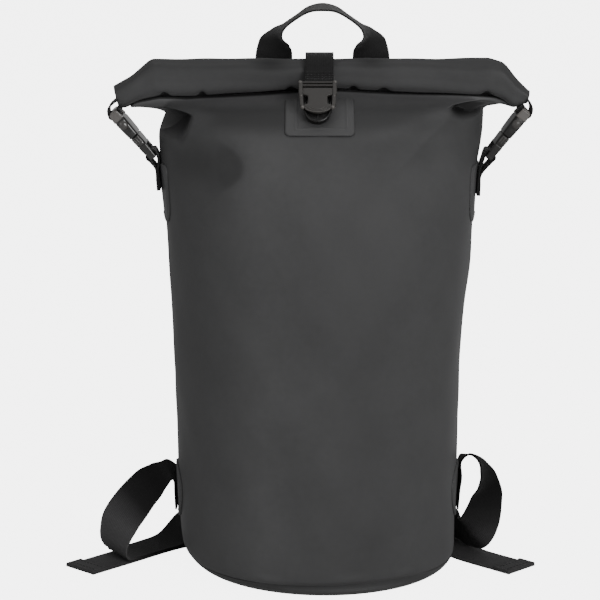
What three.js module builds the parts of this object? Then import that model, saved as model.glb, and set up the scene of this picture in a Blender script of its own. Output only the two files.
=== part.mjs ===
// A roll-top backpack of coated cloth, standing on its round base.
// Millimetres, +Z up, the front faces -Y, the origin is the middle of the base on the floor.
import * as THREE from 'three';

// Driving dimensions
const wall = 1.5;
const seat = 0.3;
const patchThickness = 1;
const yokeClearance = 0.7;
const webbingThickness = 1.6;
const baseRimRadius = 25;
const baseRimSkew = 0.22;
const baseHalfWidth = 125;
const baseFront = 121;
const baseBack = 119;
const baseThickness = 1.8;
const seamHeight = 13;
const neckHeight = 433.7;
const wingHalfThickness = 4;
const rollHeight = 450.5;
const rollForward = 8;
const rollShift = 2.5;
const rollHalfLength = 181;
const rollHalfHeight = 16.5;
const rollHalfDepth = 12;
const rollLayer = 2;
const rollPitch = 3.3;
const rollTurns = 2.25;
const rollTipScale = 0.6;
const rollBendStart = 148;
const rollBendAngle = 33;
const rollBendSoftness = 6;
const strapWidth = 25;
const anchorWidth = 18;
const lockLoopWidth = 34;
const handleWidth = 34;
const handleSpread = 43.5;
const handleShift = 3;
const handleTop = 508;
const handleBack = 30;
const handleTilt = 0.07;
const shoulderWebbingWidth = 38;
const hemLength = 18;
const padWidth = 56;
const padThickness = 10;
const buckleWidth = 33;
const buckleThickness = 11;
const columnsAround = 40;

// Horizontal sections of the bag, from the base seam to the neck
const bagSections = [
  { height: 13, left: 119.6, right: 123.7, front: 117.9, back: 115.9 },
  { height: 18, left: 122.8, right: 124.4, front: 120, back: 118 },
  { height: 25, left: 125.2, right: 124.6, front: 121, back: 119 },
  { height: 60, left: 128.3, right: 124.8, front: 122, back: 119.5 },
  { height: 106, left: 129.3, right: 125.7, front: 122.5, back: 119 },
  { height: 153, left: 130, right: 126.8, front: 122, back: 118.5 },
  { height: 200, left: 131.3, right: 128, front: 121, back: 118 },
  { height: 246, left: 132.8, right: 131.5, front: 119, back: 117 },
  { height: 292, left: 135.6, right: 136.5, front: 115.5, back: 114 },
  { height: 338, left: 138.5, right: 139.2, front: 108, back: 108 },
  { height: 365, left: 140.6, right: 140.4, front: 98, back: 100 },
  { height: 383, left: 142.3, right: 142.5, front: 87, back: 90 },
  { height: 401, left: 143, right: 144.5, front: 70, back: 74 },
  { height: 412, left: 140.5, right: 145.5, front: 56, back: 58 },
  { height: 418.5, left: 138, right: 146, front: 45, back: 45 },
  { height: 423.5, left: 138, right: 146, front: 34, back: 32 },
  { height: 428.5, left: 138, right: 146, front: 20, back: 18 },
  { height: 431, left: 138, right: 146, front: 11.5, back: 10.5 },
  { height: 433.7, left: 138, right: 146, front: 4.6, back: 4.6 },
];

// Levels at which the cloth is divided, closer together where it folds towards the neck
const bagLevels = [
  13, 18, 25, 60, 106, 200, 246, 292, 318, 338, 354, 370, 383, 392, 401,
  407, 412, 416, 418.5, 421, 423.5, 426, 428.5, 431, 433.7,
];

// Ears of the flattened neck under the roll's tips, one for each side
const neckWings = {
  left: { reach: 168, lowest: 417.5, full: 430 },
  right: { reach: 170, lowest: 423, full: 431.5 },
};

// How the cloth folds towards the neck: heights between which the dents fade and the tips bend down
const dentFade = { from: 421, to: 429 };
const neckBendFrom = 408;
const neckLift = 14;
const earRoundness = 6;
const dentSideways = 0.8;
const wallLean = 0.7;

// Dents: turn is degrees from the front, positive to the right
const bagDents = [
  { turn: -48, height: 388, turnRadius: 17, heightRadius: 26, depth: 12 },
  { turn: -71, height: 410, turnRadius: 9, heightRadius: 9, depth: 13 },
  { turn: 71, height: 416, turnRadius: 11, heightRadius: 6, depth: 10 },
  { turn: 46, height: 392, turnRadius: 12, heightRadius: 22, depth: 5 },
];

// Finishes
const finish = (color, roughness) => new THREE.MeshStandardMaterial({ color, roughness, metalness: 0 });
const tarpaulin = finish(0x444444, 0.62);
const tarpaulinPatch = finish(0x484848, 0.6);
const webbing = finish(0x1f1f20, 0.85);
const plastic = finish(0x3c3a38, 0.45);
const padding = finish(0x2e2e2f, 0.9);

const backpack = new THREE.Group();
const degrees = (angle) => THREE.MathUtils.degToRad(angle);
const smooth = (from, to, value) => THREE.MathUtils.smoothstep(value, from, to);
const point = (x, y, z) => new THREE.Vector3(x, y, z);

// Closed meshes from grids of points
function addSolid(name, points, triangles, material) {
  const geometry = new THREE.BufferGeometry();
  let volume = 0;
  for (const [a, b, c] of triangles) {
    volume += points[a].dot(new THREE.Vector3().crossVectors(points[b], points[c]));
  }
  const outward = volume > 0 ? triangles : triangles.map(([a, b, c]) => [a, c, b]);
  geometry.setAttribute('position', new THREE.Float32BufferAttribute(points.flatMap((p) => p.toArray()), 3));
  geometry.setIndex(outward.flat());
  geometry.computeVertexNormals();
  const mesh = new THREE.Mesh(geometry, material);
  mesh.name = name;
  backpack.add(mesh);
  return mesh;
}

function quad(triangles, a, b, c, d) {
  triangles.push([a, b, c], [a, c, d]);
}

// A slab between two open grids of the same size
function addSlab(name, top, bottom, material) {
  const rows = top.length;
  const columns = top[0].length;
  const points = [...top.flat(), ...bottom.flat()];
  const under = rows * columns;
  const at = (row, column) => row * columns + column;
  const triangles = [];
  for (let row = 0; row < rows - 1; row += 1) {
    for (let column = 0; column < columns - 1; column += 1) {
      const corners = [at(row, column), at(row + 1, column), at(row + 1, column + 1), at(row, column + 1)];
      const [a, b, c, d] = corners.map((corner) => corner + under);
      quad(triangles, ...corners);
      quad(triangles, a, d, c, b);
    }
  }
  const border = [];
  for (let column = 0; column < columns - 1; column += 1) border.push(at(0, column));
  for (let row = 0; row < rows - 1; row += 1) border.push(at(row, columns - 1));
  for (let column = columns - 1; column > 0; column -= 1) border.push(at(rows - 1, column));
  for (let row = rows - 1; row > 0; row -= 1) border.push(at(row, 0));
  border.forEach((corner, index) => {
    const next = border[(index + 1) % border.length];
    quad(triangles, corner, next, next + under, corner + under);
  });
  return addSolid(name, points, triangles, material);
}

// A wall between an outer and an inner tube, open at both ends
function addTube(name, outer, inner, material) {
  const rows = outer.length;
  const columns = outer[0].length;
  const points = [...outer.flat(), ...inner.flat()];
  const inside = rows * columns;
  const at = (row, column) => row * columns + (column % columns);
  const triangles = [];
  for (let column = 0; column < columns; column += 1) {
    for (let row = 0; row < rows - 1; row += 1) {
      const corners = [at(row, column), at(row, column + 1), at(row + 1, column + 1), at(row + 1, column)];
      const [a, b, c, d] = corners.map((corner) => corner + inside);
      quad(triangles, ...corners);
      quad(triangles, a, d, c, b);
    }
    const foot = [at(0, column), at(0, column + 1)];
    const rim = [at(rows - 1, column), at(rows - 1, column + 1)];
    quad(triangles, foot[1], foot[0], foot[0] + inside, foot[1] + inside);
    quad(triangles, rim[0], rim[1], rim[1] + inside, rim[0] + inside);
  }
  return addSolid(name, points, triangles, material);
}

// A solid through closed rings, with a flat cap on each end
function addLoft(name, rings, material) {
  const columns = rings[0].length;
  const points = rings.flat();
  const triangles = [];
  for (let row = 0; row < rings.length - 1; row += 1) {
    for (let column = 0; column < columns; column += 1) {
      const next = (column + 1) % columns;
      const base = row * columns;
      quad(triangles, base + column, base + next, base + columns + next, base + columns + column);
    }
  }
  const last = (rings.length - 1) * columns;
  [0, last].forEach((start) => {
    const middle = points.length;
    const centre = point(0, 0, 0);
    for (let column = 0; column < columns; column += 1) centre.add(points[start + column]);
    points.push(centre.divideScalar(columns));
    for (let column = 0; column < columns; column += 1) {
      const next = (column + 1) % columns;
      if (start === 0) triangles.push([middle, start + next, start + column]);
      else triangles.push([middle, start + column, start + next]);
    }
  });
  return addSolid(name, points, triangles, material);
}

// Position, direction, width and normal along a route of hand-placed stations
function framesAlong(stations, stepsBetween) {
  const path = new THREE.CatmullRomCurve3(stations.map(({ at }) => at), false, 'centripetal');
  const turning = new THREE.CatmullRomCurve3(stations.map(({ across }) => across), false, 'catmullrom', 0.3);
  const steps = (stations.length - 1) * stepsBetween;
  const frames = [];
  for (let step = 0; step <= steps; step += 1) {
    const place = step / steps;
    const along = path.getTangent(place);
    const width = turning.getPoint(place);
    width.addScaledVector(along, -width.dot(along)).normalize();
    const normal = new THREE.Vector3().crossVectors(along, width);
    frames.push({ at: path.getPoint(place), along, width, normal });
  }
  return frames;
}

// Flat webbing of even width, with a thickness on each side of its middle line
function addRibbon(name, frames, width, thicknessAt, material) {
  const edge = (frame, side, lift) => frame.at.clone()
    .addScaledVector(frame.width, (side * width) / 2)
    .addScaledVector(frame.normal, lift);
  let run = 0;
  const sides = frames.map((frame, index) => {
    if (index > 0) run += frame.at.distanceTo(frames[index - 1].at);
    return { frame, ...thicknessAt(run) };
  });
  const top = sides.map(({ frame, above }) => [edge(frame, -1, above), edge(frame, 1, above)]);
  const bottom = sides.map(({ frame, below }) => [edge(frame, -1, -below), edge(frame, 1, -below)]);
  return addSlab(name, top, bottom, material);
}

const evenWebbing = () => ({ above: webbingThickness / 2, below: webbingThickness / 2 });

// The bag's skin
function sectionAt(height) {
  const last = bagSections.length - 1;
  let row = 0;
  while (row < last - 1 && height > bagSections[row + 1].height) row += 1;
  const low = bagSections[row];
  const high = bagSections[row + 1];
  const share = THREE.MathUtils.clamp((height - low.height) / (high.height - low.height), 0, 1);
  const before = bagSections[Math.max(row - 1, 0)];
  const after = bagSections[Math.min(row + 2, last)];
  const blend = (key) => {
    const span = high.height - low.height;
    const lowSlope = (high[key] - before[key]) / Math.max(high.height - before.height, 1) * span;
    const highSlope = (after[key] - low[key]) / Math.max(after.height - low.height, 1) * span;
    const rest = 1 - share;
    const squared = share * share;
    return low[key] * (1 + 2 * share) * rest * rest + lowSlope * share * rest * rest
      + high[key] * squared * (3 - 2 * share) - highSlope * squared * rest;
  };
  return { left: blend('left'), right: blend('right'), front: blend('front'), back: blend('back') };
}

// How far a place along the roll lies past the start of its bend
const pastBend = (x) => Math.max(0, Math.abs(x - rollShift) - rollBendStart);

function rollDrop(x) {
  return Math.tan(degrees(rollBendAngle)) * (Math.hypot(pastBend(x), rollBendSoftness) - rollBendSoftness);
}

function rollScale(x) {
  const short = Math.max(0, 1 - pastBend(x) / (rollHalfLength - rollBendStart));
  return 1 - (1 - rollTipScale) * (1 - short * short);
}

// How far the neck's edge falls below its height, to follow the roll's bent and narrowed tips
function neckFall(x) {
  return rollDrop(x) - (1 - rollScale(x)) * neckLift;
}

// Point of the skin: turn in degrees from the front, inset is 0 outside and the wall thickness inside
function skinPoint(turn, height, inset) {
  const angle = degrees(turn);
  const section = sectionAt(height);
  const above = sectionAt(height + inset * wallLean);
  const isRight = Math.sin(angle) >= 0;
  const wing = isRight ? neckWings.right : neckWings.left;
  const core = (isRight ? section.right : section.left) - inset;
  const wingRise = smooth(wing.lowest, wing.full, height - inset);
  const reach = core + (wing.reach - inset - core) * wingRise;
  const key = Math.cos(angle) >= 0 ? 'front' : 'back';
  const depth = Math.min(section[key], above[key]) - inset;
  const sideways = reach * Math.abs(Math.sin(angle));
  const coreShare = Math.min(sideways / core, 1);
  const coreCosine = wingRise > 0 ? Math.sqrt(1 - coreShare * coreShare) : Math.abs(Math.cos(angle));
  const coreDepth = depth * coreCosine;
  const ear = wingHalfThickness - inset;
  const past = THREE.MathUtils.clamp((sideways - (reach - ear)) / ear, 0, 1);
  const earDepth = ear * Math.sqrt(1 - past * past);
  const halfDepth = (coreDepth ** earRoundness + earDepth ** earRoundness) ** (1 / earRoundness);
  let x = sideways * Math.sign(Math.sin(angle));
  let y = halfDepth * (key === 'front' ? -1 : 1);
  const dentShare = 1 - smooth(dentFade.from, dentFade.to, height);
  for (const dent of bagDents) {
    const across = (turn - dent.turn) / dent.turnRadius;
    const up = (height - dent.height) / dent.heightRadius;
    const push = dent.depth * Math.exp(-across * across - up * up) * dentShare;
    x -= push * Math.sin(degrees(dent.turn)) * dentSideways;
    y += push * Math.cos(degrees(dent.turn));
  }
  return point(x, y, height - neckFall(x) * smooth(neckBendFrom, neckHeight, height));
}

// Point above the skin by a lift along its outward normal
function onSkin(turn, height, lift) {
  const middle = skinPoint(turn, height, 0);
  const around = skinPoint(turn + 0.5, height, 0).sub(skinPoint(turn - 0.5, height, 0));
  const up = skinPoint(turn, height + 0.5, 0).sub(skinPoint(turn, height - 0.5, 0));
  const normal = new THREE.Vector3().crossVectors(around, up).normalize();
  return middle.addScaledVector(normal, lift);
}

function makeBagBody() {
  const ring = (height, inset) => {
    const points = [];
    for (let column = 0; column < columnsAround; column += 1) {
      const turn = ((column + 0.5) * 360) / columnsAround;
      points.push(skinPoint(turn > 180 ? turn - 360 : turn, height, inset));
    }
    return points;
  };
  addTube('bag_body', bagLevels.map((h) => ring(h, 0)), bagLevels.map((h) => ring(h, wall)), tarpaulin);
}

// Shallow dish: flat bottom and a rim that rises to the seam, with a tighter bend on the right
function makeBasePanel() {
  const ring = (share, thickness) => {
    const points = [];
    for (let column = 0; column < columnsAround; column += 1) {
      const angle = ((column + 0.5) * 2 * Math.PI) / columnsAround;
      const outerRadius = baseRimRadius * (1 - baseRimSkew * Math.sin(angle));
      const radius = outerRadius - thickness;
      const rimStart = Math.asin((outerRadius - seamHeight + seat) / radius);
      const fall = rimStart + (Math.PI / 2 - rimStart) * share;
      const reach = radius * Math.cos(fall) - outerRadius;
      const depth = Math.cos(angle) >= 0 ? baseFront : baseBack;
      const x = (baseHalfWidth + reach) * Math.sin(angle);
      const y = -(depth + reach) * Math.cos(angle);
      points.push(point(x, y, outerRadius - radius * Math.sin(fall)));
    }
    return points;
  };
  const shares = [0, 0.35, 0.7, 1];
  const inner = shares.map((share) => ring(share, baseThickness)).reverse();
  addLoft('base_panel', [...inner, ...shares.map((share) => ring(share, 0))], tarpaulin);
}

// The rolled neck: a flat spiral carried along the roll, its tips bent down and drawn in
function rollFrame(x) {
  const steepness = pastBend(x) / Math.hypot(pastBend(x), rollBendSoftness);
  const slope = Math.atan(Math.tan(degrees(rollBendAngle)) * steepness) * Math.sign(x - rollShift);
  return {
    at: point(x, -rollForward, rollHeight - rollDrop(x)),
    up: point(Math.sin(slope), 0, Math.cos(slope)),
    along: point(Math.cos(slope), 0, -Math.sin(slope)),
    scale: rollScale(x),
  };
}

function rollProfile() {
  const profile = [];
  const steps = 32;
  const tail = rollHeight - neckHeight - seat - rollLayer / 2;
  profile.push({ y: rollHalfDepth - rollLayer / 2, z: -tail, outY: 1, outZ: 0 });
  profile.push({ y: rollHalfDepth - rollLayer / 2, z: -tail / 2, outY: 1, outZ: 0 });
  for (let step = 0; step <= steps; step += 1) {
    const turn = (rollTurns * 2 * Math.PI * step) / steps;
    const shrink = (rollPitch * turn) / (2 * Math.PI) + rollLayer / 2;
    const out = new THREE.Vector2(
      Math.cos(turn) / (rollHalfDepth - shrink),
      Math.sin(turn) / (rollHalfHeight - shrink),
    ).normalize();
    profile.push({
      y: (rollHalfDepth - shrink) * Math.cos(turn),
      z: (rollHalfHeight - shrink) * Math.sin(turn),
      outY: out.x,
      outZ: out.y,
    });
  }
  return profile;
}

function makeRollTop() {
  const profile = rollProfile();
  const bent = [0.8, 0.83, 0.87, 0.92, 1];
  const places = [...bent.map((share) => -share).reverse(), -0.4, 0.4, ...bent];
  const side = (lift) => places.map((place) => {
    const frame = rollFrame(rollShift + place * rollHalfLength);
    return profile.map(({ y, z, outY, outZ }) => frame.at.clone()
      .add(point(0, (y + outY * lift) * frame.scale, 0))
      .addScaledVector(frame.up, (z + outZ * lift) * frame.scale));
  });
  addSlab('roll_top', side(rollLayer / 2), side(-rollLayer / 2), tarpaulin);
}

// How far the skin reaches sideways at a height, with the neck's ears
function reachAt(sign, height) {
  const section = sectionAt(height);
  const wing = sign > 0 ? neckWings.right : neckWings.left;
  const core = sign > 0 ? section.right : section.left;
  return core + (wing.reach - core) * smooth(wing.lowest, wing.full, height);
}

// A patch that follows the skin, with an outline given as its half width in degrees at each level and side
function addPatch(name, middleTurn, levels, halfTurnAt, columns, clearance = seat) {
  const grid = (lift) => levels.map((height) => {
    const row = [];
    for (let column = 0; column <= columns; column += 1) {
      const share = (2 * column) / columns - 1;
      row.push(onSkin(middleTurn + share * halfTurnAt(height, Math.sign(share)), height, lift));
    }
    return row;
  });
  addSlab(name, grid(clearance + patchThickness), grid(clearance), tarpaulinPatch);
}

function spread(from, to, count) {
  return Array.from({ length: count }, (_, index) => from + ((to - from) * index) / (count - 1));
}

// How far an outline with rounded corners draws in near its ends
function cornerInset(distance, radius) {
  const inside = Math.max(0, radius - distance);
  return radius - Math.sqrt(Math.max(0, radius * radius - inside * inside));
}

function makePatches() {
  const frontPatch = { halfWidth: 30.5, lowest: 403, corner: 7, slant: 1.7 };
  addPatch('front_patch', 0, [403, 404.2, 406.5, 411, 417, 423, 428], (height, sign) => {
    const rise = (height - frontPatch.lowest) * frontPatch.slant;
    const half = frontPatch.halfWidth - cornerInset(rise, frontPatch.corner);
    return THREE.MathUtils.radToDeg(Math.asin(half / reachAt(sign, height)));
  }, 6);
  const sidePatch = { halfTurn: 17, lowest: 322, highest: 374, corner: 15, topCorner: 5, turnPerMm: 0.45 };
  const anchorPatch = { turn: 87, halfTurn: 12.5, lowest: 47.5, highest: 98.5, middle: 73, radius: 26 };
  const yoke = {
    halfTurn: 34, lowest: 368, highest: 421, corner: 12, turnPerMm: 0.5, taper: 0.18, taperFrom: 390,
  };
  for (const [name, sign] of [['left', -1], ['right', 1]]) {
    addPatch(`side_patch_${name}`, sign * 90, [322, 324, 328, 336, 348, 362, 370, 374], (height) => {
      const low = cornerInset(height - sidePatch.lowest, sidePatch.corner);
      const high = cornerInset(sidePatch.highest - height, sidePatch.topCorner);
      return sidePatch.halfTurn - (low + high) * sidePatch.turnPerMm;
    }, 6);
    const anchorLevels = spread(anchorPatch.lowest, anchorPatch.highest, 8);
    addPatch(`anchor_patch_${name}`, sign * anchorPatch.turn, anchorLevels, (height) => {
      const rise = (height - anchorPatch.middle) / anchorPatch.radius;
      return anchorPatch.halfTurn * Math.sqrt(1 - rise * rise);
    }, 6);
  }
  addPatch('back_yoke', 180, [368, 370, 376, 383, 392, 401, 407, 412, 416, 418.5, 421], (height) => {
    const draw = cornerInset(height - yoke.lowest, yoke.corner);
    const narrowing = yoke.taper * smooth(yoke.taperFrom, yoke.highest, height);
    return (yoke.halfTurn - draw * yoke.turnPerMm) * (1 - narrowing);
  }, 8, yokeClearance);
}

// Height of a webbing's middle line over the skin, when it lies on a patch
const overPatch = 2 * seat + patchThickness + webbingThickness / 2;
const overYoke = overPatch + yokeClearance;

// Webbing from the back over the roll to the centre buckle
function makeClosureStrap() {
  const across = point(1, 0, 0);
  const back = [392, 402, 412, 420, 426].map((height) => ({ at: onSkin(180, height, overYoke), across }));
  const over = [
    [12, 435], [7.2, 446], [6.6, 455], [3.5, 464], [-2, 469.4], [-8.5, 471.2], [-15, 470],
    [-20.2, 465.5], [-22.6, 458.4], [-26, 452.4], [-30.6, 448.3], [-34.6, 445.6],
  ].map(([y, z]) => ({ at: point(0, y, z), across }));
  addRibbon('closure_strap', framesAlong([...back, ...over], 2), strapWidth, evenWebbing, webbing);
}

// Buckles are flat outlines with slots, extruded through their thickness
function addBuckleHalf(name, outline, holes, from, to, place) {
  const shape = new THREE.Shape(outline.map(([x, y]) => new THREE.Vector2(x, y)));
  for (const hole of holes) {
    const { x, y, width, height } = hole;
    shape.holes.push(new THREE.Path([
      new THREE.Vector2(x - width / 2, y - height / 2),
      new THREE.Vector2(x + width / 2, y - height / 2),
      new THREE.Vector2(x + width / 2, y + height / 2),
      new THREE.Vector2(x - width / 2, y + height / 2),
    ]));
  }
  const geometry = new THREE.ExtrudeGeometry(shape, { depth: to - from, bevelEnabled: false, steps: 1 });
  geometry.translate(0, 0, from);
  const mesh = new THREE.Mesh(geometry, plastic);
  mesh.name = name;
  place.add(mesh);
}

// A group whose local Y runs up along the buckle and local Z points out of it
function buckleFrame(middle, across, up) {
  const frame = new THREE.Group();
  const out = new THREE.Vector3().crossVectors(across, up);
  frame.quaternion.setFromRotationMatrix(new THREE.Matrix4().makeBasis(across, up, out));
  frame.position.copy(middle);
  backpack.add(frame);
  return frame;
}

function arcPoints(radiusX, radiusY, middleY, fromDegrees, toDegrees, count) {
  return spread(fromDegrees, toDegrees, count).map((angle) => [
    radiusX * Math.cos(degrees(angle)),
    middleY + radiusY * Math.sin(degrees(angle)),
  ]);
}

const mirrored = (half) => [...half, ...half.map(([x, y]) => [-x, y]).reverse()];

// The centre buckle lies slanted from the roll down to the front patch
const closureBuckle = {
  y: -43.5, z: 435.5, lean: 40, tongue: { from: 1.2, to: 5.2 }, socket: { from: -4.6, to: 0.9 },
};

function makeClosureBuckle() {
  const { y, z, tongue, socket } = closureBuckle;
  const lean = degrees(closureBuckle.lean);
  const frame = buckleFrame(point(0, y, z), point(1, 0, 0), point(0, Math.sin(lean), Math.cos(lean)));
  const plate = mirrored([
    [13.2, 14.2], [14, 15.4], [15.8, 15.4], [16.7, 14.2], [16.8, 5.5], [15.6, 4], [15, -6],
    [13.8, -7.6], ...arcPoints(12.4, 5.2, -7.6, -20, -75, 4),
  ]);
  const windows = [
    { x: 0, y: 12.4, width: 24.6, height: 2.2 },
    { x: -12.4, y: -2.55, width: 3.2, height: 6.2 },
    { x: 12.4, y: -2.4, width: 3.2, height: 6 },
  ];
  addBuckleHalf('closure_buckle_tongue', plate, windows, tongue.from, tongue.to, frame);
  const cup = mirrored([[12.6, 4], ...arcPoints(13.2, 11.5, -11.5, 0, -80, 7)]);
  const anchorSlot = { x: 0, y: -14.5, width: 20, height: 3.4 };
  addBuckleHalf('closure_buckle_socket', cup, [anchorSlot], socket.from, socket.to, frame);
}

// Short webbing from the patch, through the socket's slot and back
function makeClosureAnchor() {
  const across = point(1, 0, 0);
  const sewn = [427.5, 426.2, 425].map((height) => ({ at: onSkin(0, height, overPatch), across }));
  const rise = [[-41, 424.8], [-46, 422.1], [-49.9, 421.3], [-51.9, 423.1]]
    .map(([y, z]) => ({ at: point(0, y, z), across }));
  addRibbon('closure_anchor', framesAlong([...sewn, ...rise], 2), anchorWidth, evenWebbing, webbing);
}

// Handle: two sewn feet on the back yoke, a quarter twist in each and an arch between
function makeGrabHandle() {
  const foot = (sign) => [402, 410, 418].map((height) => {
    const sideways = (handleShift + sign * handleSpread) / sectionAt(height).right;
    const turn = 180 - THREE.MathUtils.radToDeg(Math.asin(sideways));
    const across = onSkin(turn - 2, height, 0).sub(onSkin(turn + 2, height, 0)).normalize();
    return { at: onSkin(turn, height, overYoke), across };
  });
  const rise = (sign) => [
    { inset: 0, fall: 74, width: [1, 0] },
    { inset: -0.5, fall: 56, width: [1, 0.05] },
    { inset: 0, fall: 44, width: [1, 0.25] },
    { inset: 0.5, fall: 35, width: [0.8, 0.7] },
    { inset: 4, fall: 26.5, width: [0.25, 1] },
    { inset: 10.5, fall: 18, width: [0.02, 1] },
    { inset: 20.5, fall: 9, width: [0, 1] },
    { inset: 31.5, fall: 2, width: [0, 1] },
  ].map(({ inset, fall, width }) => ({
    at: point(handleShift + sign * (handleSpread - inset), handleBack, handleTop - fall),
    across: point(width[0], sign * width[1], sign * width[1] * handleTilt),
  }));
  const left = [...foot(-1), ...rise(-1)];
  const right = [...foot(1), ...rise(1)].reverse();
  const flipped = right.map(({ at, across }) => ({ at, across: across.clone().negate() }));
  const crown = { at: point(handleShift, handleBack, handleTop), across: point(0, -1, -handleTilt) };
  const stations = [...left, crown, ...flipped];
  addRibbon('grab_handle', framesAlong(stations, 2), handleWidth, evenWebbing, webbing);
}

// Side buckles: the socket hangs from the roll's tip, the tongue from the tab on the body
const sideBuckle = {
  halfLength: 23.4,
  y: -6,
  left: { upper: point(-179.5, 0, 417), lower: point(-149.5, 0, 381) },
  right: { upper: point(182, 0, 418.5), lower: point(155, 0, 379.5) },
};

function sideBuckleAxes(sign) {
  const { upper, lower } = sign > 0 ? sideBuckle.right : sideBuckle.left;
  const up = upper.clone().sub(lower).normalize();
  const middle = upper.clone().lerp(lower, 0.5).setY(sideBuckle.y);
  const across = point(0, sign, 0);
  const out = new THREE.Vector3().crossVectors(across, up);
  return { up, middle, across, out };
}

function makeSideBuckle(name, sign) {
  const axes = sideBuckleAxes(sign);
  const frame = buckleFrame(axes.middle, axes.across, axes.up);
  const half = buckleWidth / 2;
  const end = sideBuckle.halfLength;
  const socket = mirrored([
    [half - 2, end], [half, end - 2], [half, end - 10], [half - 2.5, end - 13], [half - 2.5, end - 21],
    [half, end - 23.5], [half - 1, -2],
  ]);
  const slot = { x: 0, y: end - 6, width: strapWidth + 1.4, height: 5 };
  const halfThickness = buckleThickness / 2;
  addBuckleHalf(`side_buckle_socket_${name}`, socket, [slot], -halfThickness, halfThickness, frame);
  const tongue = mirrored([
    [half - 2, -2.3], [half - 1.2, -6], [half - 1.2, 2 - end], [half - 3.2, -end],
  ]);
  const slots = { x: 0, y: 6.2 - end, width: strapWidth + 1.4, height: 5 };
  addBuckleHalf(`side_buckle_tongue_${name}`, tongue, [slots], -4, 4, frame);
}

// Webbing loop from the roll's tip round the socket's bar
function makeSideStrap(name, sign) {
  const { up, middle, across, out } = sideBuckleAxes(sign);
  const end = sideBuckle.halfLength;
  const tip = rollFrame(rollShift + sign * rollHalfLength);
  const outward = tip.along.clone().multiplyScalar(sign);
  const face = (rise) => tip.at.clone().addScaledVector(outward, seat + 0.4).addScaledVector(tip.up, rise)
    .setY(middle.y);
  const near = (along, lift) => middle.clone().addScaledVector(up, along).addScaledVector(out, lift);
  const stations = [
    face(4), face(4).addScaledVector(outward, 3), near(end + 7, 7), near(end + 1, 8.2), near(end - 4, 7.4),
    near(end - 6, 4), near(end - 6, -3), near(end - 3.6, -7.2), near(end + 0.5, -6.9), near(end + 2.5, -3.5),
    face(-4.5).addScaledVector(outward, 2), face(-4.5),
  ].map((at) => ({ at, across: across.clone() }));
  addRibbon(`side_strap_${name}`, framesAlong(stations, 2), strapWidth, evenWebbing, webbing);
}

// Tab sewn down the body's side, looped round the tongue's bar
const tabLift = overPatch + 0.15;

function makeSideTab(name, sign) {
  const { up, middle, across, out } = sideBuckleAxes(sign);
  const end = sideBuckle.halfLength;
  const near = (along, lift) => middle.clone().addScaledVector(up, along).addScaledVector(out, lift);
  const sewn = [341, 352, 362, 371].map((height) => onSkin(sign * 90, height, tabLift).setY(middle.y));
  const doubled = tabLift + webbingThickness + 2 * seat;
  const stations = [
    ...sewn, near(-end - 3, -4.6), near(1.5 - end, -6.6), near(5 - end, -5.2), near(6.2 - end, -2),
    near(6.2 - end, 2.4), near(4 - end, 5.6), near(-end - 1, 5.6), near(-end - 8, 2.6),
    onSkin(sign * 90, 357, doubled).setY(middle.y), onSkin(sign * 90, 346, doubled).setY(middle.y),
  ].map((at) => ({ at, across: across.clone() }));
  addRibbon(`side_tab_${name}`, framesAlong(stations, 2), strapWidth, evenWebbing, webbing);
}

// Ladder locks at the lower ends of the padded straps
const ladderLock = { width: 48, length: 32, thickness: 4, corner: 3, lean: 17, spread: 50, y: 143, z: 52 };

function lockAxes(sign) {
  const lean = degrees(ladderLock.lean);
  return {
    middle: point(sign * ladderLock.spread, ladderLock.y, ladderLock.z),
    up: point(-sign * Math.sin(lean), 0, Math.cos(lean)),
    across: point(-Math.cos(lean), 0, -sign * Math.sin(lean)),
  };
}

function makeLadderLock(name, sign) {
  const { middle, up, across } = lockAxes(sign);
  const frame = buckleFrame(middle, across, up);
  const halfWidth = ladderLock.width / 2;
  const halfLength = ladderLock.length / 2;
  const halfThickness = ladderLock.thickness / 2;
  const { corner } = ladderLock;
  const outline = mirrored([
    [halfWidth - corner, halfLength], [halfWidth, halfLength - corner],
    [halfWidth, corner - halfLength], [halfWidth - corner, -halfLength],
  ]);
  const slots = [8, -6.4].map((y) => ({ x: 0, y, width: 40, height: 8 }));
  addBuckleHalf(`ladder_lock_${name}`, outline, slots, -halfThickness, halfThickness, frame);
}

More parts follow.
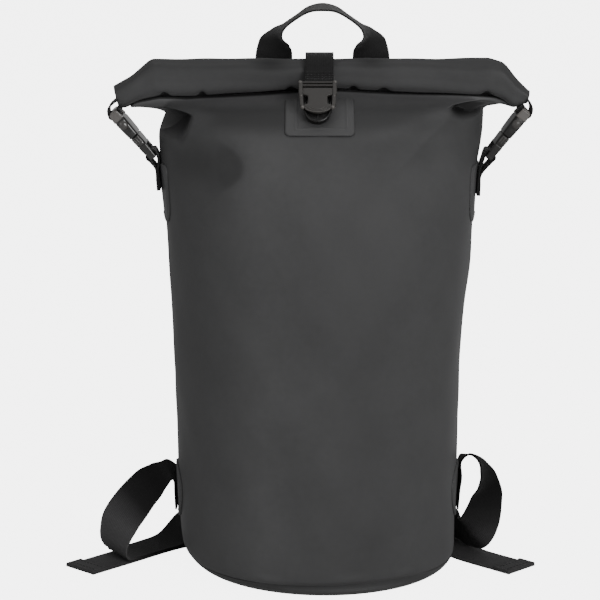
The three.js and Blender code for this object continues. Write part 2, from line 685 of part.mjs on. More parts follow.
// Webbing routes, by hand: at is the middle line, across points over the width
const looseWebbing = {
  left: [
    { at: [-137.5, 2, 86.6], across: [0.02, 0.96, 0.22] },
    { at: [-146, 0, 82.6], across: [-0.16, 0.85, 0.45] },
    { at: [-157.6, -2, 72.6], across: [-0.46, 0.62, 0.62] },
    { at: [-174, 0, 52], across: [-0.8, 0.42, 0.42] },
    { at: [-183, 1, 38], across: [-0.84, 0.42, 0.32] },
    { at: [-187.5, 1, 25], across: [-0.76, 0.6, 0.22] },
    { at: [-188, 0.5, 14], across: [-0.66, 0.74, 0.08] },
    { at: [-184.5, 3, 6.4], across: [-0.5, 0.86, 0] },
    { at: [-173, 14, 4.6], across: [-0.6, 0.8, 0] },
    { at: [-157, 30, 4.6], across: [-0.68, 0.73, 0] },
    { at: [-139, 50, 5.4], across: [-0.68, 0.73, 0.04] },
    { at: [-120.5, 79.5, 16.5], across: [-0.64, 0.74, 0.1] },
    { at: [-104, 106, 19], across: [-0.62, 0.7, 0.12] },
    { at: [-88.5, 127, 17], across: [-0.68, 0.72, 0.05] },
    { at: [-67, 137.5, 16.5], across: [-0.85, 0.5, 0] },
  ],
  right: [
    { at: [131.2, 3, 97], across: [0, 0.98, -0.2] },
    { at: [138, 3, 101], across: [0.02, 0.96, -0.28] },
    { at: [144.5, 3, 97.5], across: [0.1, 0.96, -0.25] },
    { at: [151, 3, 88], across: [0.3, 0.93, -0.2] },
    { at: [155, 3, 76], across: [0.5, 0.84, -0.05] },
    { at: [154.5, 4, 60], across: [0.78, 0.55, -0.1] },
    { at: [149, 7, 36.5], across: [0.86, 0.25, -0.4] },
    { at: [142, 18, 22], across: [0.65, -0.15, -0.7] },
    { at: [135, 38, 20.5], across: [0.4, -0.3, -0.87] },
    { at: [126, 64, 21], across: [0.35, -0.25, -0.9] },
    { at: [112, 90, 19.5], across: [0.6, 0.25, -0.75] },
    { at: [98, 110, 17.5], across: [0.7, 0.55, -0.4] },
    { at: [87, 128, 17], across: [0.68, 0.72, -0.05] },
    { at: [67, 138.5, 16.5], across: [0.85, 0.5, 0] },
  ],
};

// Loose ends on the floor, by hand, from behind the bag to the hemmed end
const looseEnds = {
  left: [
    [-84, 115.5], [-102, 80], [-145.1, 46.8], [-183.7, 6.3],
    [-203.7, -14.7], [-205.8, -16.9], [-218.2, -29.9],
  ],
  right: [
    [84, 116.5], [98.5, 99], [111, 80], [121.5, 58], [129, 37], [140, 17.5],
    [170.3, -13.7], [172.4, -15.8], [185.2, -28.4],
  ],
};
const looseEndStart = {
  left: [{ at: [-57.5, 147.5, 20], turned: true }, { at: [-61, 145, 9.5] }, { at: [-68, 137, 3] }],
  right: [{ at: [57.5, 147.5, 20], turned: true }, { at: [61, 145, 9.5] }, { at: [68, 137, 3] }],
};

function webbingStations(name, sign) {
  const { middle, up, across } = lockAxes(sign);
  const acrossLock = name === 'left' ? across : across.clone().negate();
  const near = (along, lift) => ({
    at: middle.clone().addScaledVector(up, along).add(point(0, lift, 0)),
    across: acrossLock,
  });
  const sewn = [
    { height: 54, lift: overPatch },
    { height: 70, lift: overPatch + 0.2 },
    { height: 82, lift: overPatch + 0.8 },
  ].map(({ height, lift }) => ({
    at: onSkin(sign * 92, height, lift),
    across: onSkin(sign * 94, height, 0).sub(onSkin(sign * 90, height, 0)).normalize(),
  }));
  const loop = looseWebbing[name].map((station) => ({
    at: point(...station.at),
    across: point(...station.across),
  }));
  const throughLock = [
    [-21, -7.2], [-12, -7], [-4, -5.4], [3.8, -3.6], [6.6, 0], [3.8, 3.6], [-4, 4.8], [-20, 6.5],
  ].map(([run, lift]) => near(run, lift));
  const floorHeight = seat + webbingThickness / 2;
  const places = [
    ...looseEndStart[name].map(({ at, turned }) => ({ at: point(...at), turned })),
    ...looseEnds[name].map(([x, y]) => ({ at: point(x, y, floorHeight), turned: false })),
  ];
  const floor = places.map(({ at, turned }, index) => {
    const before = places[Math.max(index - 1, 0)].at;
    const after = places[Math.min(index + 1, places.length - 1)].at;
    const level = point(before.y - after.y, after.x - before.x, 0).normalize().multiplyScalar(-sign);
    if (level.dot(acrossLock) < 0) level.negate();
    return { at, across: turned ? level.add(acrossLock) : level };
  });
  return [...sewn, ...loop, ...throughLock, ...floor];
}

function makeStrapWebbing(name, sign) {
  const frames = framesAlong(webbingStations(name, sign), 2);
  let total = 0;
  frames.forEach((frame, index) => {
    if (index > 0) total += frame.at.distanceTo(frames[index - 1].at);
  });
  const half = webbingThickness / 2;
  const upIsNormal = frames[frames.length - 1].normal.z > 0;
  const hemmed = (run) => {
    const extra = run > total - hemLength - 1 ? webbingThickness : 0;
    return { above: half + (upIsNormal ? extra : 0), below: half + (upIsNormal ? 0 : extra) };
  };
  addRibbon(`strap_webbing_${name}`, frames, shoulderWebbingWidth, hemmed, webbing);
}

// Padded straps: an oval section hung from the yoke down the back
const padRoute = [
  { out: 44, height: 392, lift: 12, tilt: 0.19 },
  { out: 45, height: 378, lift: 12, tilt: 0.19 },
  { out: 46, height: 350, lift: 16, tilt: 0.2 },
  { out: 47, height: 310, lift: 23, tilt: 0.2 },
  { out: 47, height: 260, lift: 28, tilt: 0.2 },
  { out: 45, height: 200, lift: 29, tilt: 0.18 },
  { out: 40.5, height: 140, lift: 28, tilt: 0.1 },
  { out: 34.4, height: 103, lift: 29, tilt: 0 },
  { out: 40.9, height: 81.6, lift: 30.3, tilt: 0 },
];

const padTaper = { foot: 0.16, head: 0.1 };
const padEdge = { flat: 0.6, round: 0.7 };

function makeShoulderStrap(name, sign) {
  const stations = padRoute.map(({ out, height, lift, tilt }) => {
    const section = sectionAt(height);
    const side = sign > 0 ? section.right : section.left;
    const share = out / side;
    const depth = section.back * Math.sqrt(1 - share * share) + lift;
    return { at: point(sign * out, depth, height), across: point(1, -sign * tilt, 0) };
  });
  const frames = framesAlong(stations, 2);
  const sides = 12;
  const rings = frames.map((frame, index) => {
    const place = index / (frames.length - 1);
    const taper = 1 - padTaper.foot * smooth(0.75, 1, place) - padTaper.head * (1 - smooth(0, 0.15, place));
    return Array.from({ length: sides }, (_, side) => {
      const angle = ((side + 0.5) * 2 * Math.PI) / sides;
      const flat = Math.sign(Math.cos(angle)) * Math.abs(Math.cos(angle)) ** padEdge.flat;
      const round = Math.sign(Math.sin(angle)) * Math.abs(Math.sin(angle)) ** padEdge.round;
      return frame.at.clone()
        .addScaledVector(frame.width, (flat * padWidth * taper) / 2)
        .addScaledVector(frame.normal, (round * padThickness) / 2);
    });
  });
  addLoft(`shoulder_strap_${name}`, rings, padding);
}

// Webbing that ties each ladder lock's top bar to its padded strap
function makeLockLoop(name, sign) {
  const { middle, up, across } = lockAxes(sign);
  const near = (along, lift) => ({
    at: middle.clone().addScaledVector(up, along).add(point(0, lift, 0)),
    across,
  });
  const side = (sense) => [[30.4, 1.8], [24, 2.8], [16, 3.8], [11.4, 3.2]]
    .map(([along, lift]) => near(along, sense * lift));
  const stations = [...side(-1), near(9.6, 0), ...side(1).reverse()];
  addRibbon(`lock_loop_${name}`, framesAlong(stations, 1), lockLoopWidth, evenWebbing, webbing);
}

makeBagBody();
makeBasePanel();
makeRollTop();
makePatches();
makeClosureStrap();
makeClosureBuckle();
makeClosureAnchor();
makeGrabHandle();
for (const [name, sign] of [['left', -1], ['right', 1]]) {
  makeSideBuckle(name, sign);
  makeSideStrap(name, sign);
  makeSideTab(name, sign);
  makeLadderLock(name, sign);
  makeStrapWebbing(name, sign);
  makeShoulderStrap(name, sign);
  makeLockLoop(name, sign);
}

export default backpack;
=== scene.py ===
import math

import bmesh
import bpy
import numpy as np
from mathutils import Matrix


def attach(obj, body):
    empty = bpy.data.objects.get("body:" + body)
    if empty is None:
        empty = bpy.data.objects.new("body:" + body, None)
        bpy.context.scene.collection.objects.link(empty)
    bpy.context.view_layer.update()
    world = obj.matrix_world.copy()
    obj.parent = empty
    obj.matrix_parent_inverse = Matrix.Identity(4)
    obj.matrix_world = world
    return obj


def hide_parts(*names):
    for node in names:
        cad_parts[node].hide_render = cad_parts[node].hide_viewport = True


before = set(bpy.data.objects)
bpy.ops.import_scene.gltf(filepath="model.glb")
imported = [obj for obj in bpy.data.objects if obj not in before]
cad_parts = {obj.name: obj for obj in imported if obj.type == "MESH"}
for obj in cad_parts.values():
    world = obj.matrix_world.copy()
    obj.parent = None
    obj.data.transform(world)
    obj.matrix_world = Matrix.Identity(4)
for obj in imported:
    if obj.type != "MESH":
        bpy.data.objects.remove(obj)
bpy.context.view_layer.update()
scene = bpy.context.scene
mm = 0.001


# Helpers for arrays

def smooth(low, high, value):
    # Zero below low, one above high, 3t^2 - 2t^3 between
    share = np.clip((value - low) / (high - low), 0, 1)
    return share * share * (3 - 2 * share)


def bell(value, middle, width):
    # exp(-((value - middle) / width)^2)
    return np.exp(-((value - middle) / width) ** 2)


def unit(vectors):
    # Each row divided by its length
    return vectors / np.maximum(np.linalg.norm(vectors, axis=-1, keepdims=True), 1e-12)


def runAlong(points, axis=0):
    # Length up to each point of a line, or of each line of a grid
    steps = np.linalg.norm(np.diff(points, axis=axis), axis=-1)
    return np.insert(np.cumsum(steps, axis=axis), 0, 0, axis=axis)


def fullTurn(count):
    # Even angles once round
    return np.linspace(0, 2 * math.pi, count, endpoint=False)


def flatter(wave, power):
    # The size of a wave to a power, with its sign kept
    return np.sign(wave) * np.abs(wave) ** power


def gridFaces(rows, columns, closed=False):
    # Four corners of each cell of a grid, numbered row by row, round again to the first column if closed
    cells = np.arange(rows - 1), np.arange(columns if closed else columns - 1)
    row, column = np.meshgrid(*cells, indexing="ij")
    after = (column + 1) % columns
    low, high = row * columns, (row + 1) * columns
    return np.stack([low + column, low + after, high + after, high + column], -1).reshape(-1, 4)


def tubeShape(rings, uv=None):
    # A closed solid through rings of points, rows by columns by three, with a flat face on each end
    rows, columns = rings.shape[:2]
    caps = [list(range(columns)), list(range((rows - 1) * columns, rows * columns))]
    points = rings.reshape(-1, 3)
    flat = np.zeros((len(points), 2)) if uv is None else uv.reshape(-1, 2)
    return points, gridFaces(rows, columns, True).tolist() + caps, flat


def slabShape(top, bottom):
    # A closed solid between two open grids of the same size
    rows, columns = top.shape[:2]
    count = rows * columns
    cells = gridFaces(rows, columns)
    number = np.arange(count).reshape(rows, columns)
    border = np.concatenate([number[0, :-1], number[:-1, -1], number[-1, :0:-1], number[:0:-1, 0]])
    after = np.roll(border, -1)
    edge = np.stack([border, after, after + count, border + count], -1)
    faces = np.concatenate([cells, cells[:, ::-1] + count, edge])
    points = np.concatenate([top.reshape(-1, 3), bottom.reshape(-1, 3)])
    return points, faces.tolist(), np.zeros((2 * count, 2))


def joined(shapes):
    # Several shapes as one, their faces renumbered
    points, faces, flats, start = [], [], [], 0
    for shapePoints, shapeFaces, flat in shapes:
        points.append(shapePoints)
        flats.append(flat)
        faces += [[corner + start for corner in face] for face in shapeFaces]
        start += len(shapePoints)
    return np.concatenate(points), faces, np.concatenate(flats)


def dressMesh(mesh, flat, paintedLightAndShade=None):
    # Smooth faces, UV places in metres, and the painted light and shade of each point, a tone which the
    # materials multiply their colour by
    corners = np.empty(len(mesh.loops), dtype=np.int32)
    mesh.loops.foreach_get("vertex_index", corners)
    layer = mesh.uv_layers.get("UVMap") or mesh.uv_layers.new(name="UVMap")
    layer.data.foreach_set("uv", flat[corners].ravel())
    mesh.polygons.foreach_set("use_smooth", np.ones(len(mesh.polygons), dtype=bool))
    tone = mesh.attributes.get("paintedLightAndShade") or mesh.attributes.new("paintedLightAndShade", "FLOAT", "POINT")
    tone.data.foreach_set("value", np.ones(len(flat)) if paintedLightAndShade is None else paintedLightAndShade)


def addPiece(name, shape, material, paintedLightAndShade=None, extra=False):
    # A mesh on the root, with outward normals and painted light and shade; it replaces the node of its
    # name, unless it is an extra
    points, faces, flat = shape
    mesh = bpy.data.meshes.new(name)
    mesh.from_pydata(points.tolist(), [], faces)
    outward = bmesh.new()
    outward.from_mesh(mesh)
    bmesh.ops.recalc_face_normals(outward, faces=outward.faces)
    outward.to_mesh(mesh)
    outward.free()
    dressMesh(mesh, flat, paintedLightAndShade)
    mesh.materials.append(material)
    piece = bpy.data.objects.new(name if extra else name + "_look", mesh)
    scene.collection.objects.link(piece)
    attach(piece, "root")
    if not extra:
        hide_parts(name)
    return piece


bothSides = (("left", -1), ("right", 1))


# Camera, floor and light

view = {"aim": (-0.0172, 0, 0.2465), "distance": 2.3, "elevation": 12, "lens": 152.6, "sensor": 36}
camera = bpy.data.objects.new("camera", bpy.data.cameras.new("camera"))
scene.collection.objects.link(camera)
scene.camera = camera
camera.data.lens = view["lens"]
camera.data.sensor_width = view["sensor"]
camera.data.clip_end = 100
rise = math.radians(view["elevation"])
camera.location = (
    view["aim"][0],
    view["aim"][1] - view["distance"] * math.cos(rise),
    view["aim"][2] + view["distance"] * math.sin(rise),
)
camera.rotation_euler = (math.pi / 2 - rise, 0, 0)

floorLook = {"half": 30, "height": -0.0004, "colour": 0.5, "roughness": 0.9, "glow": 0.1, "seen": 5.2}
worldLook = {"light": 0.36, "seen": 5.4}
lamps = {
    "key": {"at": (1.5, -2.6, 1.15), "size": 1.5, "watts": 44},
    "fill": {"at": (-2.3, -2.0, 0.8), "size": 1.8, "watts": 8},
    "top": {"at": (0.2, 0.3, 2.6), "size": 2.2, "watts": 10},
}
lampAim = np.array([0, 0, 0.24])


def grey(level):
    # A colour with three like parts
    return (level,) * 3 + (1,)


def setInputs(node, values):
    # Numbers or colours for the named inputs of a node
    for name, value in values.items():
        node.inputs[name].default_value = value


def principled(name):
    # A new material, its node tree and its shader
    material = bpy.data.materials.new(name)
    material.use_nodes = True
    tree = material.node_tree
    shader = next(node for node in tree.nodes if node.type == "BSDF_PRINCIPLED")
    return material, tree, shader


def makeFloor():
    # A wide square that the camera sees brighter than it lights the part
    half, height = floorLook["half"], floorLook["height"]
    corners = [(-half, -half, height), (half, -half, height), (half, half, height), (-half, half, height)]
    mesh = bpy.data.meshes.new("floor")
    mesh.from_pydata(corners, [], [(0, 1, 2, 3)])
    material, tree, shader = principled("floor")
    setInputs(shader, {
        "Base Color": grey(floorLook["colour"]), "Roughness": floorLook["roughness"],
        "Specular IOR Level": 0, "Emission Color": grey(1),
    })
    ray = tree.nodes.new("ShaderNodeLightPath").outputs["Is Camera Ray"]
    glow = tree.nodes.new("ShaderNodeMapRange")
    setInputs(glow, {"To Min": floorLook["glow"], "To Max": floorLook["seen"]})
    tree.links.new(ray, glow.inputs["Value"])
    tree.links.new(glow.outputs[0], shader.inputs["Emission Strength"])
    mesh.materials.append(material)
    floor = bpy.data.objects.new("floor", mesh)
    scene.collection.objects.link(floor)


def makeWorld():
    # One grey lights the part, and the camera sees another
    world = bpy.data.worlds.new("studio")
    scene.world = world
    world.use_nodes = True
    tree = world.node_tree
    tree.nodes.clear()
    mix = tree.nodes.new("ShaderNodeMixShader")
    tree.links.new(tree.nodes.new("ShaderNodeLightPath").outputs["Is Camera Ray"], mix.inputs[0])
    for number, use in enumerate(("light", "seen"), 1):
        background = tree.nodes.new("ShaderNodeBackground")
        setInputs(background, {"Color": grey(worldLook[use])})
        tree.links.new(background.outputs[0], mix.inputs[number])
    tree.links.new(mix.outputs[0], tree.nodes.new("ShaderNodeOutputWorld").inputs["Surface"])


def makeLamps():
    # Square lamps turned towards the part's middle
    for name, lamp in lamps.items():
        light = bpy.data.lights.new(name, "AREA")
        light.size = lamp["size"]
        light.energy = lamp["watts"]
        lampObject = bpy.data.objects.new(name, light)
        lampObject.location = lamp["at"]
        x, y, z = lampAim - np.array(lamp["at"])
        lampObject.rotation_euler = (math.atan2(math.hypot(x, y), -z), 0, math.atan2(-x, y))
        scene.collection.objects.link(lampObject)


makeFloor()
makeWorld()
makeLamps()
print("stage ready")


# Materials

def feed(tree, socket, value):
    # A number is set, and another socket is linked
    if isinstance(value, (int, float)):
        socket.default_value = value
    else:
        tree.links.new(value, socket)


def calc(tree, operation, *values):
    # A math node, each input a socket or a number
    node = tree.nodes.new("ShaderNodeMath")
    node.operation = operation
    for socket, value in zip(node.inputs, values):
        feed(tree, socket, value)
    return node.outputs[0]


def makeGroup(name, inputs, outputs):
    # An empty node group with named sockets: inputs as name, kind and start value
    tree = bpy.data.node_groups.new(name, "ShaderNodeTree")
    for socketName, kind, start in inputs:
        socket = tree.interface.new_socket(socketName, in_out="INPUT", socket_type="NodeSocket" + kind)
        if start is not None:
            socket.default_value = start
    for socketName in outputs:
        tree.interface.new_socket(socketName, in_out="OUTPUT", socket_type="NodeSocketFloat")
    return tree, tree.nodes.new("NodeGroupInput").outputs, tree.nodes.new("NodeGroupOutput").inputs


def noise(tree, vector, scale, detail):
    # A noise node, its scale a socket or a number
    node = tree.nodes.new("ShaderNodeTexNoise")
    for name, value in (("Vector", vector), ("Scale", scale), ("Detail", detail)):
        feed(tree, node.inputs[name], value)
    return node.outputs[0]


def makeWeave():
    # Brick-like rows of thread: |sin(pi u)|^0.6 times |sin(pi (v + half a row in every second column))|^0.6
    tree, given, made = makeGroup("weave", [
        ("Vector", "Vector", None), ("Across", "Float", 0.0024), ("Along", "Float", 0.0013),
    ], ["Height", "Shade"])
    parts = tree.nodes.new("ShaderNodeSeparateXYZ")
    tree.links.new(given["Vector"], parts.inputs[0])
    column = calc(tree, "DIVIDE", parts.outputs["X"], given["Across"])
    row = calc(tree, "DIVIDE", parts.outputs["Y"], given["Along"])
    odd = calc(tree, "FLOORED_MODULO", calc(tree, "FLOOR", column), 2)
    row = calc(tree, "ADD", row, calc(tree, "MULTIPLY", odd, 0.5))
    ridges = []
    for side in (column, row):
        wave = calc(tree, "SINE", calc(tree, "MULTIPLY", side, math.pi))
        ridges.append(calc(tree, "POWER", calc(tree, "ABSOLUTE", wave), 0.6))
    height = calc(tree, "MULTIPLY", *ridges)
    tree.links.new(height, made["Height"])
    tree.links.new(calc(tree, "ADD", calc(tree, "MULTIPLY", height, 0.5), 0.65), made["Shade"])
    return tree


def makeMottle():
    # Cloudy tone: 1 + contrast (coarse noise + half of a finer one - 0.75)
    tree, given, made = makeGroup("mottle", [
        ("Vector", "Vector", None), ("Scale", "Float", 18.0), ("Contrast", "Float", 0.2),
    ], ["Shade", "Rough"])
    coarse = noise(tree, given["Vector"], given["Scale"], 3)
    fine = noise(tree, given["Vector"], calc(tree, "MULTIPLY", given["Scale"], 7), 2)
    cloud = calc(tree, "SUBTRACT", calc(tree, "ADD", coarse, calc(tree, "MULTIPLY", fine, 0.5)), 0.75)
    tree.links.new(calc(tree, "ADD", calc(tree, "MULTIPLY", cloud, given["Contrast"]), 1), made["Shade"])
    tree.links.new(calc(tree, "MULTIPLY", cloud, 0.2), made["Rough"])
    return tree


def makeGrain():
    # Fine leather-like grain: two noises of nearby scales added
    tree, given, made = makeGroup("grain", [
        ("Vector", "Vector", None), ("Size", "Float", 0.0009),
    ], ["Height"])
    scale = calc(tree, "DIVIDE", 1, given["Size"])
    first = noise(tree, given["Vector"], scale, 2)
    second = noise(tree, given["Vector"], calc(tree, "MULTIPLY", scale, 0.37), 1)
    tree.links.new(calc(tree, "ADD", first, second), made["Height"])
    return tree


weaveGroup = makeWeave()
mottleGroup = makeMottle()
grainGroup = makeGrain()


def useGroup(tree, group, vector, **values):
    # A node of a group, fed with a place and with numbers
    node = tree.nodes.new("ShaderNodeGroup")
    node.node_tree = group
    tree.links.new(vector, node.inputs["Vector"])
    setInputs(node, values)
    return node.outputs


def makeMaterial(name, kind, **own):
    # Colour times mottle and the tone of painted light and shade at each point; a woven kind has rows of
    # thread, any other one a fine grain
    look = {"sheen": 0, "sheenRough": 0.5, "coat": 0, "coatRough": 0.12, **kind, **own}
    material, tree, shader = principled(name)
    places = tree.nodes.new("ShaderNodeTexCoord").outputs
    mottle = useGroup(tree, mottleGroup, places["Object"], Scale=look["cloud"], Contrast=look["contrast"])
    # Painted light and shade, kept on each point of the mesh
    paintedLightAndShade = tree.nodes.new("ShaderNodeAttribute")
    paintedLightAndShade.attribute_name = "paintedLightAndShade"
    tone = calc(tree, "MULTIPLY", mottle["Shade"], paintedLightAndShade.outputs["Fac"])
    if "across" in look:
        relief = useGroup(tree, weaveGroup, places["UV"], Across=look["across"], Along=look["along"])
        tone = calc(tree, "MULTIPLY", tone, relief["Shade"])
        rough = look["roughness"]
    else:
        relief = useGroup(tree, grainGroup, places["Object"], Size=look["grain"])
        rough = calc(tree, "ADD", mottle["Rough"], look["roughness"])
    feed(tree, shader.inputs["Roughness"], rough)
    colour = tree.nodes.new("ShaderNodeVectorMath")
    colour.operation = "SCALE"
    colour.inputs[0].default_value = look["colour"]
    tree.links.new(tone, colour.inputs["Scale"])
    tree.links.new(colour.outputs[0], shader.inputs["Base Color"])
    bump = tree.nodes.new("ShaderNodeBump")
    setInputs(bump, {"Strength": look["bump"], "Distance": look["depth"]})
    tree.links.new(relief["Height"], bump.inputs["Height"])
    tree.links.new(bump.outputs[0], shader.inputs["Normal"])
    setInputs(shader, {
        "Specular IOR Level": look["shine"],
        "Coat Weight": look["coat"], "Coat Roughness": look["coatRough"],
        "Sheen Weight": look["sheen"], "Sheen Roughness": look["sheenRough"],
    })
    return material


coated = {"cloud": 22, "sheen": 0.05, "sheenRough": 0.4, "bump": 0.25, "depth": 0.0002}
woven = {
    "across": 0.0016, "along": 0.0012, "cloud": 40, "contrast": 0.25, "sheenRough": 0.35, "bump": 1,
    "depth": 0.00025,
}
moulded = {"cloud": 60, "contrast": 0.12, "grain": 0.0005, "shine": 0.5, "bump": 0.5, "depth": 0.00006}
tarpaulin = makeMaterial(
    "tarpaulin", coated, colour=(0.0642, 0.0642, 0.0652), contrast=0.34, grain=0.0009, roughness=0.6,
    shine=0.32)
patchCloth = makeMaterial(
    "patchCloth", coated, colour=(0.068, 0.068, 0.069), contrast=0.18, grain=0.0008, roughness=0.52,
    shine=0.4)
webbing = makeMaterial(
    "webbing", woven, colour=(0.012, 0.0118, 0.012), roughness=0.7, shine=0.3, sheen=0.22)
# The webbing again, darker and with less sheen, for the loose straps that carry painted light and shade
# along their run
strapWebbing = makeMaterial(
    "strapWebbing", woven, colour=(0.0105, 0.0103, 0.0105), roughness=0.75, shine=0.15, sheen=0.06)
padCloth = makeMaterial(
    "padCloth", woven, colour=(0.028, 0.028, 0.029), across=0.0018, along=0.0018, cloud=30, contrast=0.2,
    roughness=0.85, shine=0.25, sheen=0.1, depth=0.0003)
plastic = makeMaterial("plastic", moulded, colour=(0.046, 0.043, 0.0405), roughness=0.38)
darkPlastic = makeMaterial("darkPlastic", moulded, colour=(0.009, 0.0085, 0.0085), roughness=0.3)
sidePlastic = makeMaterial("sidePlastic", moulded, colour=(0.042, 0.039, 0.037), roughness=0.28, coat=1)
thread = makeMaterial("thread", moulded, colour=(0.02, 0.02, 0.02), grain=0.0004, roughness=0.7, shine=0.3)
print("materials ready")


# The bag's skin, the same function as in the construction with the photo's folds added

bagSections = np.array([
    [13, 119.6, 123.7, 117.9, 115.9], [18, 122.8, 124.4, 120, 118], [25, 125.2, 124.6, 121, 119],
    [60, 128.3, 124.8, 122, 119.5], [106, 129.3, 125.7, 122.5, 119], [153, 130, 126.8, 122, 118.5],
    [200, 131.3, 128, 121, 118], [246, 132.8, 131.5, 119, 117], [292, 135.6, 136.5, 115.5, 114],
    [338, 138.5, 139.2, 108, 108], [365, 140.6, 140.4, 98, 100], [383, 142.3, 142.5, 87, 90],
    [401, 143, 144.5, 70, 74], [412, 140.5, 145.5, 56, 58], [418.5, 138, 146, 45, 45],
    [423.5, 138, 146, 34, 32], [428.5, 138, 146, 20, 18], [431, 138, 146, 11.5, 10.5],
    [433.7, 138, 146, 4.6, 4.6],
]) * mm  # height, left, right, front, back
wings = {"reach": (168 * mm, 170 * mm), "lowest": (417.5 * mm, 423 * mm), "full": (430 * mm, 431.5 * mm)}
neck = {"height": 433.7 * mm, "bendFrom": 412 * mm, "tuck": 0.9 * mm, "ear": 4 * mm, "roundness": 6}
roll = {
    "forward": 8 * mm, "shift": 2.5 * mm, "halfLength": 182.4 * mm, "halfDepth": 12 * mm, "layer": 2 * mm,
    "pitch": 3.3 * mm, "turns": 2.25, "tipScale": 0.62, "bendStart": 148 * mm, "lean": 0.25,
    "rounding": 2.2 * mm,
}
rollTopLine = np.array([
    [-182, 441], [-178.8, 442.8], [-164.4, 451.7], [-148.4, 466.7], [-100, 467.4], [-40, 467], [20, 467.2],
    [100, 467.2], [150, 468], [161.7, 463.4], [173.2, 447.7], [185, 437],
]) * mm  # place along the roll and height of its top line
rollLowLine = np.array([
    [-182, 422.5], [-176, 421.5], [-160.4, 427.5], [-142, 431], [-118, 430.6], [-106, 431.6], [-60, 434],
    [-19, 436.9], [18.6, 437.5], [60, 434.8], [120, 433.2], [154.6, 431], [163, 428.7], [174, 421.5],
    [185, 426],
]) * mm  # and of its lower line


def spot(turn, left, right, height, below, above, steep, depth=0, paintedShade=0, slant=0, crisp=None):
    # A place on the skin: its middle, its radii in degrees and millimetres, and how steep its edge is
    return {
        "turn": turn, "left": left, "right": right, "height": height, "below": below, "above": above,
        "steep": steep, "crisp": steep if crisp is None else crisp, "slant": slant,
        "depth": depth * mm, "paintedShade": paintedShade,
    }


dents = [
    spot(-44.6, 26, 16.5, 380, 22, 22, 4, depth=6.5, crisp=6),  # left shoulder
    spot(-61.5, 31, 6, 415, 16, 6.5, 5, depth=22),  # hollow under the roll's left tip
    spot(60, 7, 17, 424, 7, 4.5, 5, depth=16),  # and under its right tip
    spot(38, 14, 7, 408, 14, 14, 3, depth=3.5),  # right shoulder
    spot(46, 10, 16, 386, 18, 16, 3, depth=3),
    spot(-20, 7, 7, 24, 5, 6, 2, depth=1.6),  # puckers above the base
    spot(14, 8, 6, 26, 5, 7, 2, depth=1.2),
    spot(36, 6, 8, 25, 5, 7, 2, depth=1.2),
]
paintedSpots = [  # painted shade in darker places, and painted light in lighter ones with a shade below zero
    spot(-44.6, 26, 17, 379, 21, 21, 2, paintedShade=0.36, crisp=24),  # painted shade on the left shoulder
    spot(-66, 24, 30, 392, 40, 26, 2, paintedShade=0.1),
    spot(-61.5, 40, 6, 415, 11, 6.5, 5, paintedShade=0.55),  # painted shade in the two hollows
    spot(60, 7, 17, 424, 7, 4.5, 9, paintedShade=0.85),
    spot(46, 3, 36, 404, 26, 19, 4, paintedShade=0.16, slant=0.6),  # painted shade on the right shoulder and a painted highlight streak on it
    spot(41, 9, 8, 417.5, 13, 6, 2, paintedShade=-0.35, slant=1.35),
    spot(0, 30, 28, 380, 30, 22, 2, paintedShade=-0.2),  # painted light on the front under the patch
    spot(84, 16, 30, 220, 400, 160, 4, paintedShade=-0.42),  # painted reflection along the right and left edges
    spot(-88, 30, 14, 220, 400, 160, 4, paintedShade=-0.14),
    spot(-38, 28, 26, 30, 60, 90, 2, paintedShade=-0.12),  # painted light low at the left
]
dentFade = (427 * mm, 433 * mm)
dentSideways = 0.15
dentLimit = -2.5 * mm
crispFrom = (4, 15)  # degrees right of a dent's middle
waves = [  # amplitude, waves around, height of a wave, start
    (0.55, 3, 300, 0.4), (0.45, 5, -210, 1.7), (0.32, 8, 150, 3.1), (0.25, 13, -95, 0.9),
    (0.16, 19, 64, 2.2),
]
waveStart = (30 * mm, 70 * mm)
waveEnd = (400 * mm, 422 * mm)


def alongRoll(line, x):
    # A line read at three places close together and averaged, so that its corners are rounded
    return sum(np.interp(x + step * roll["rounding"], line[:, 0], line[:, 1]) for step in (-1, 0, 1)) / 3


def pastBend(x):
    # Zero up to the roll's bend, one at its tip
    past = np.abs(x - roll["shift"]) - roll["bendStart"]
    return np.clip(past / (roll["halfLength"] - roll["bendStart"]), 0, 1)


def sections(height):
    # Left, right, front and back reach at each height: cubic Hermite pieces through the table
    heights = bagSections[:, 0]
    row = np.searchsorted(heights[1:-1], height)
    last = len(heights) - 1
    low, high = bagSections[row], bagSections[row + 1]
    before, after = bagSections[np.maximum(row - 1, 0)], bagSections[np.minimum(row + 2, last)]
    span = high[..., :1] - low[..., :1]
    share = np.clip((height[..., None] - low[..., :1]) / span, 0, 1)
    lowSlope = (high - before) / np.maximum(high[..., :1] - before[..., :1], mm) * span
    highSlope = (after - low) / np.maximum(after[..., :1] - low[..., :1], mm) * span
    rest = 1 - share
    mixed = (low * (1 + 2 * share) * rest * rest + lowSlope * share * rest * rest
             + high * share * share * (3 - 2 * share) - highSlope * share * share * rest)
    return mixed[..., 1], mixed[..., 2], mixed[..., 3], mixed[..., 4]


def inDent(dent, turn, height):
    # One in the middle, exp(-far^steep) away from it, crisper at its right; none of it under the roll
    above = height / mm - dent["height"]
    aside = turn - dent["turn"] - dent["slant"] * above
    across = aside / np.where(aside < 0, dent["left"], dent["right"])
    up = above / np.where(above < 0, dent["below"], dent["above"])
    far = np.sqrt(across ** 2 + up ** 2)
    steep = dent["steep"] + (dent["crisp"] - dent["steep"]) * smooth(*crispFrom, aside)
    return np.exp(-far ** steep) * (1 - smooth(*dentFade, height))


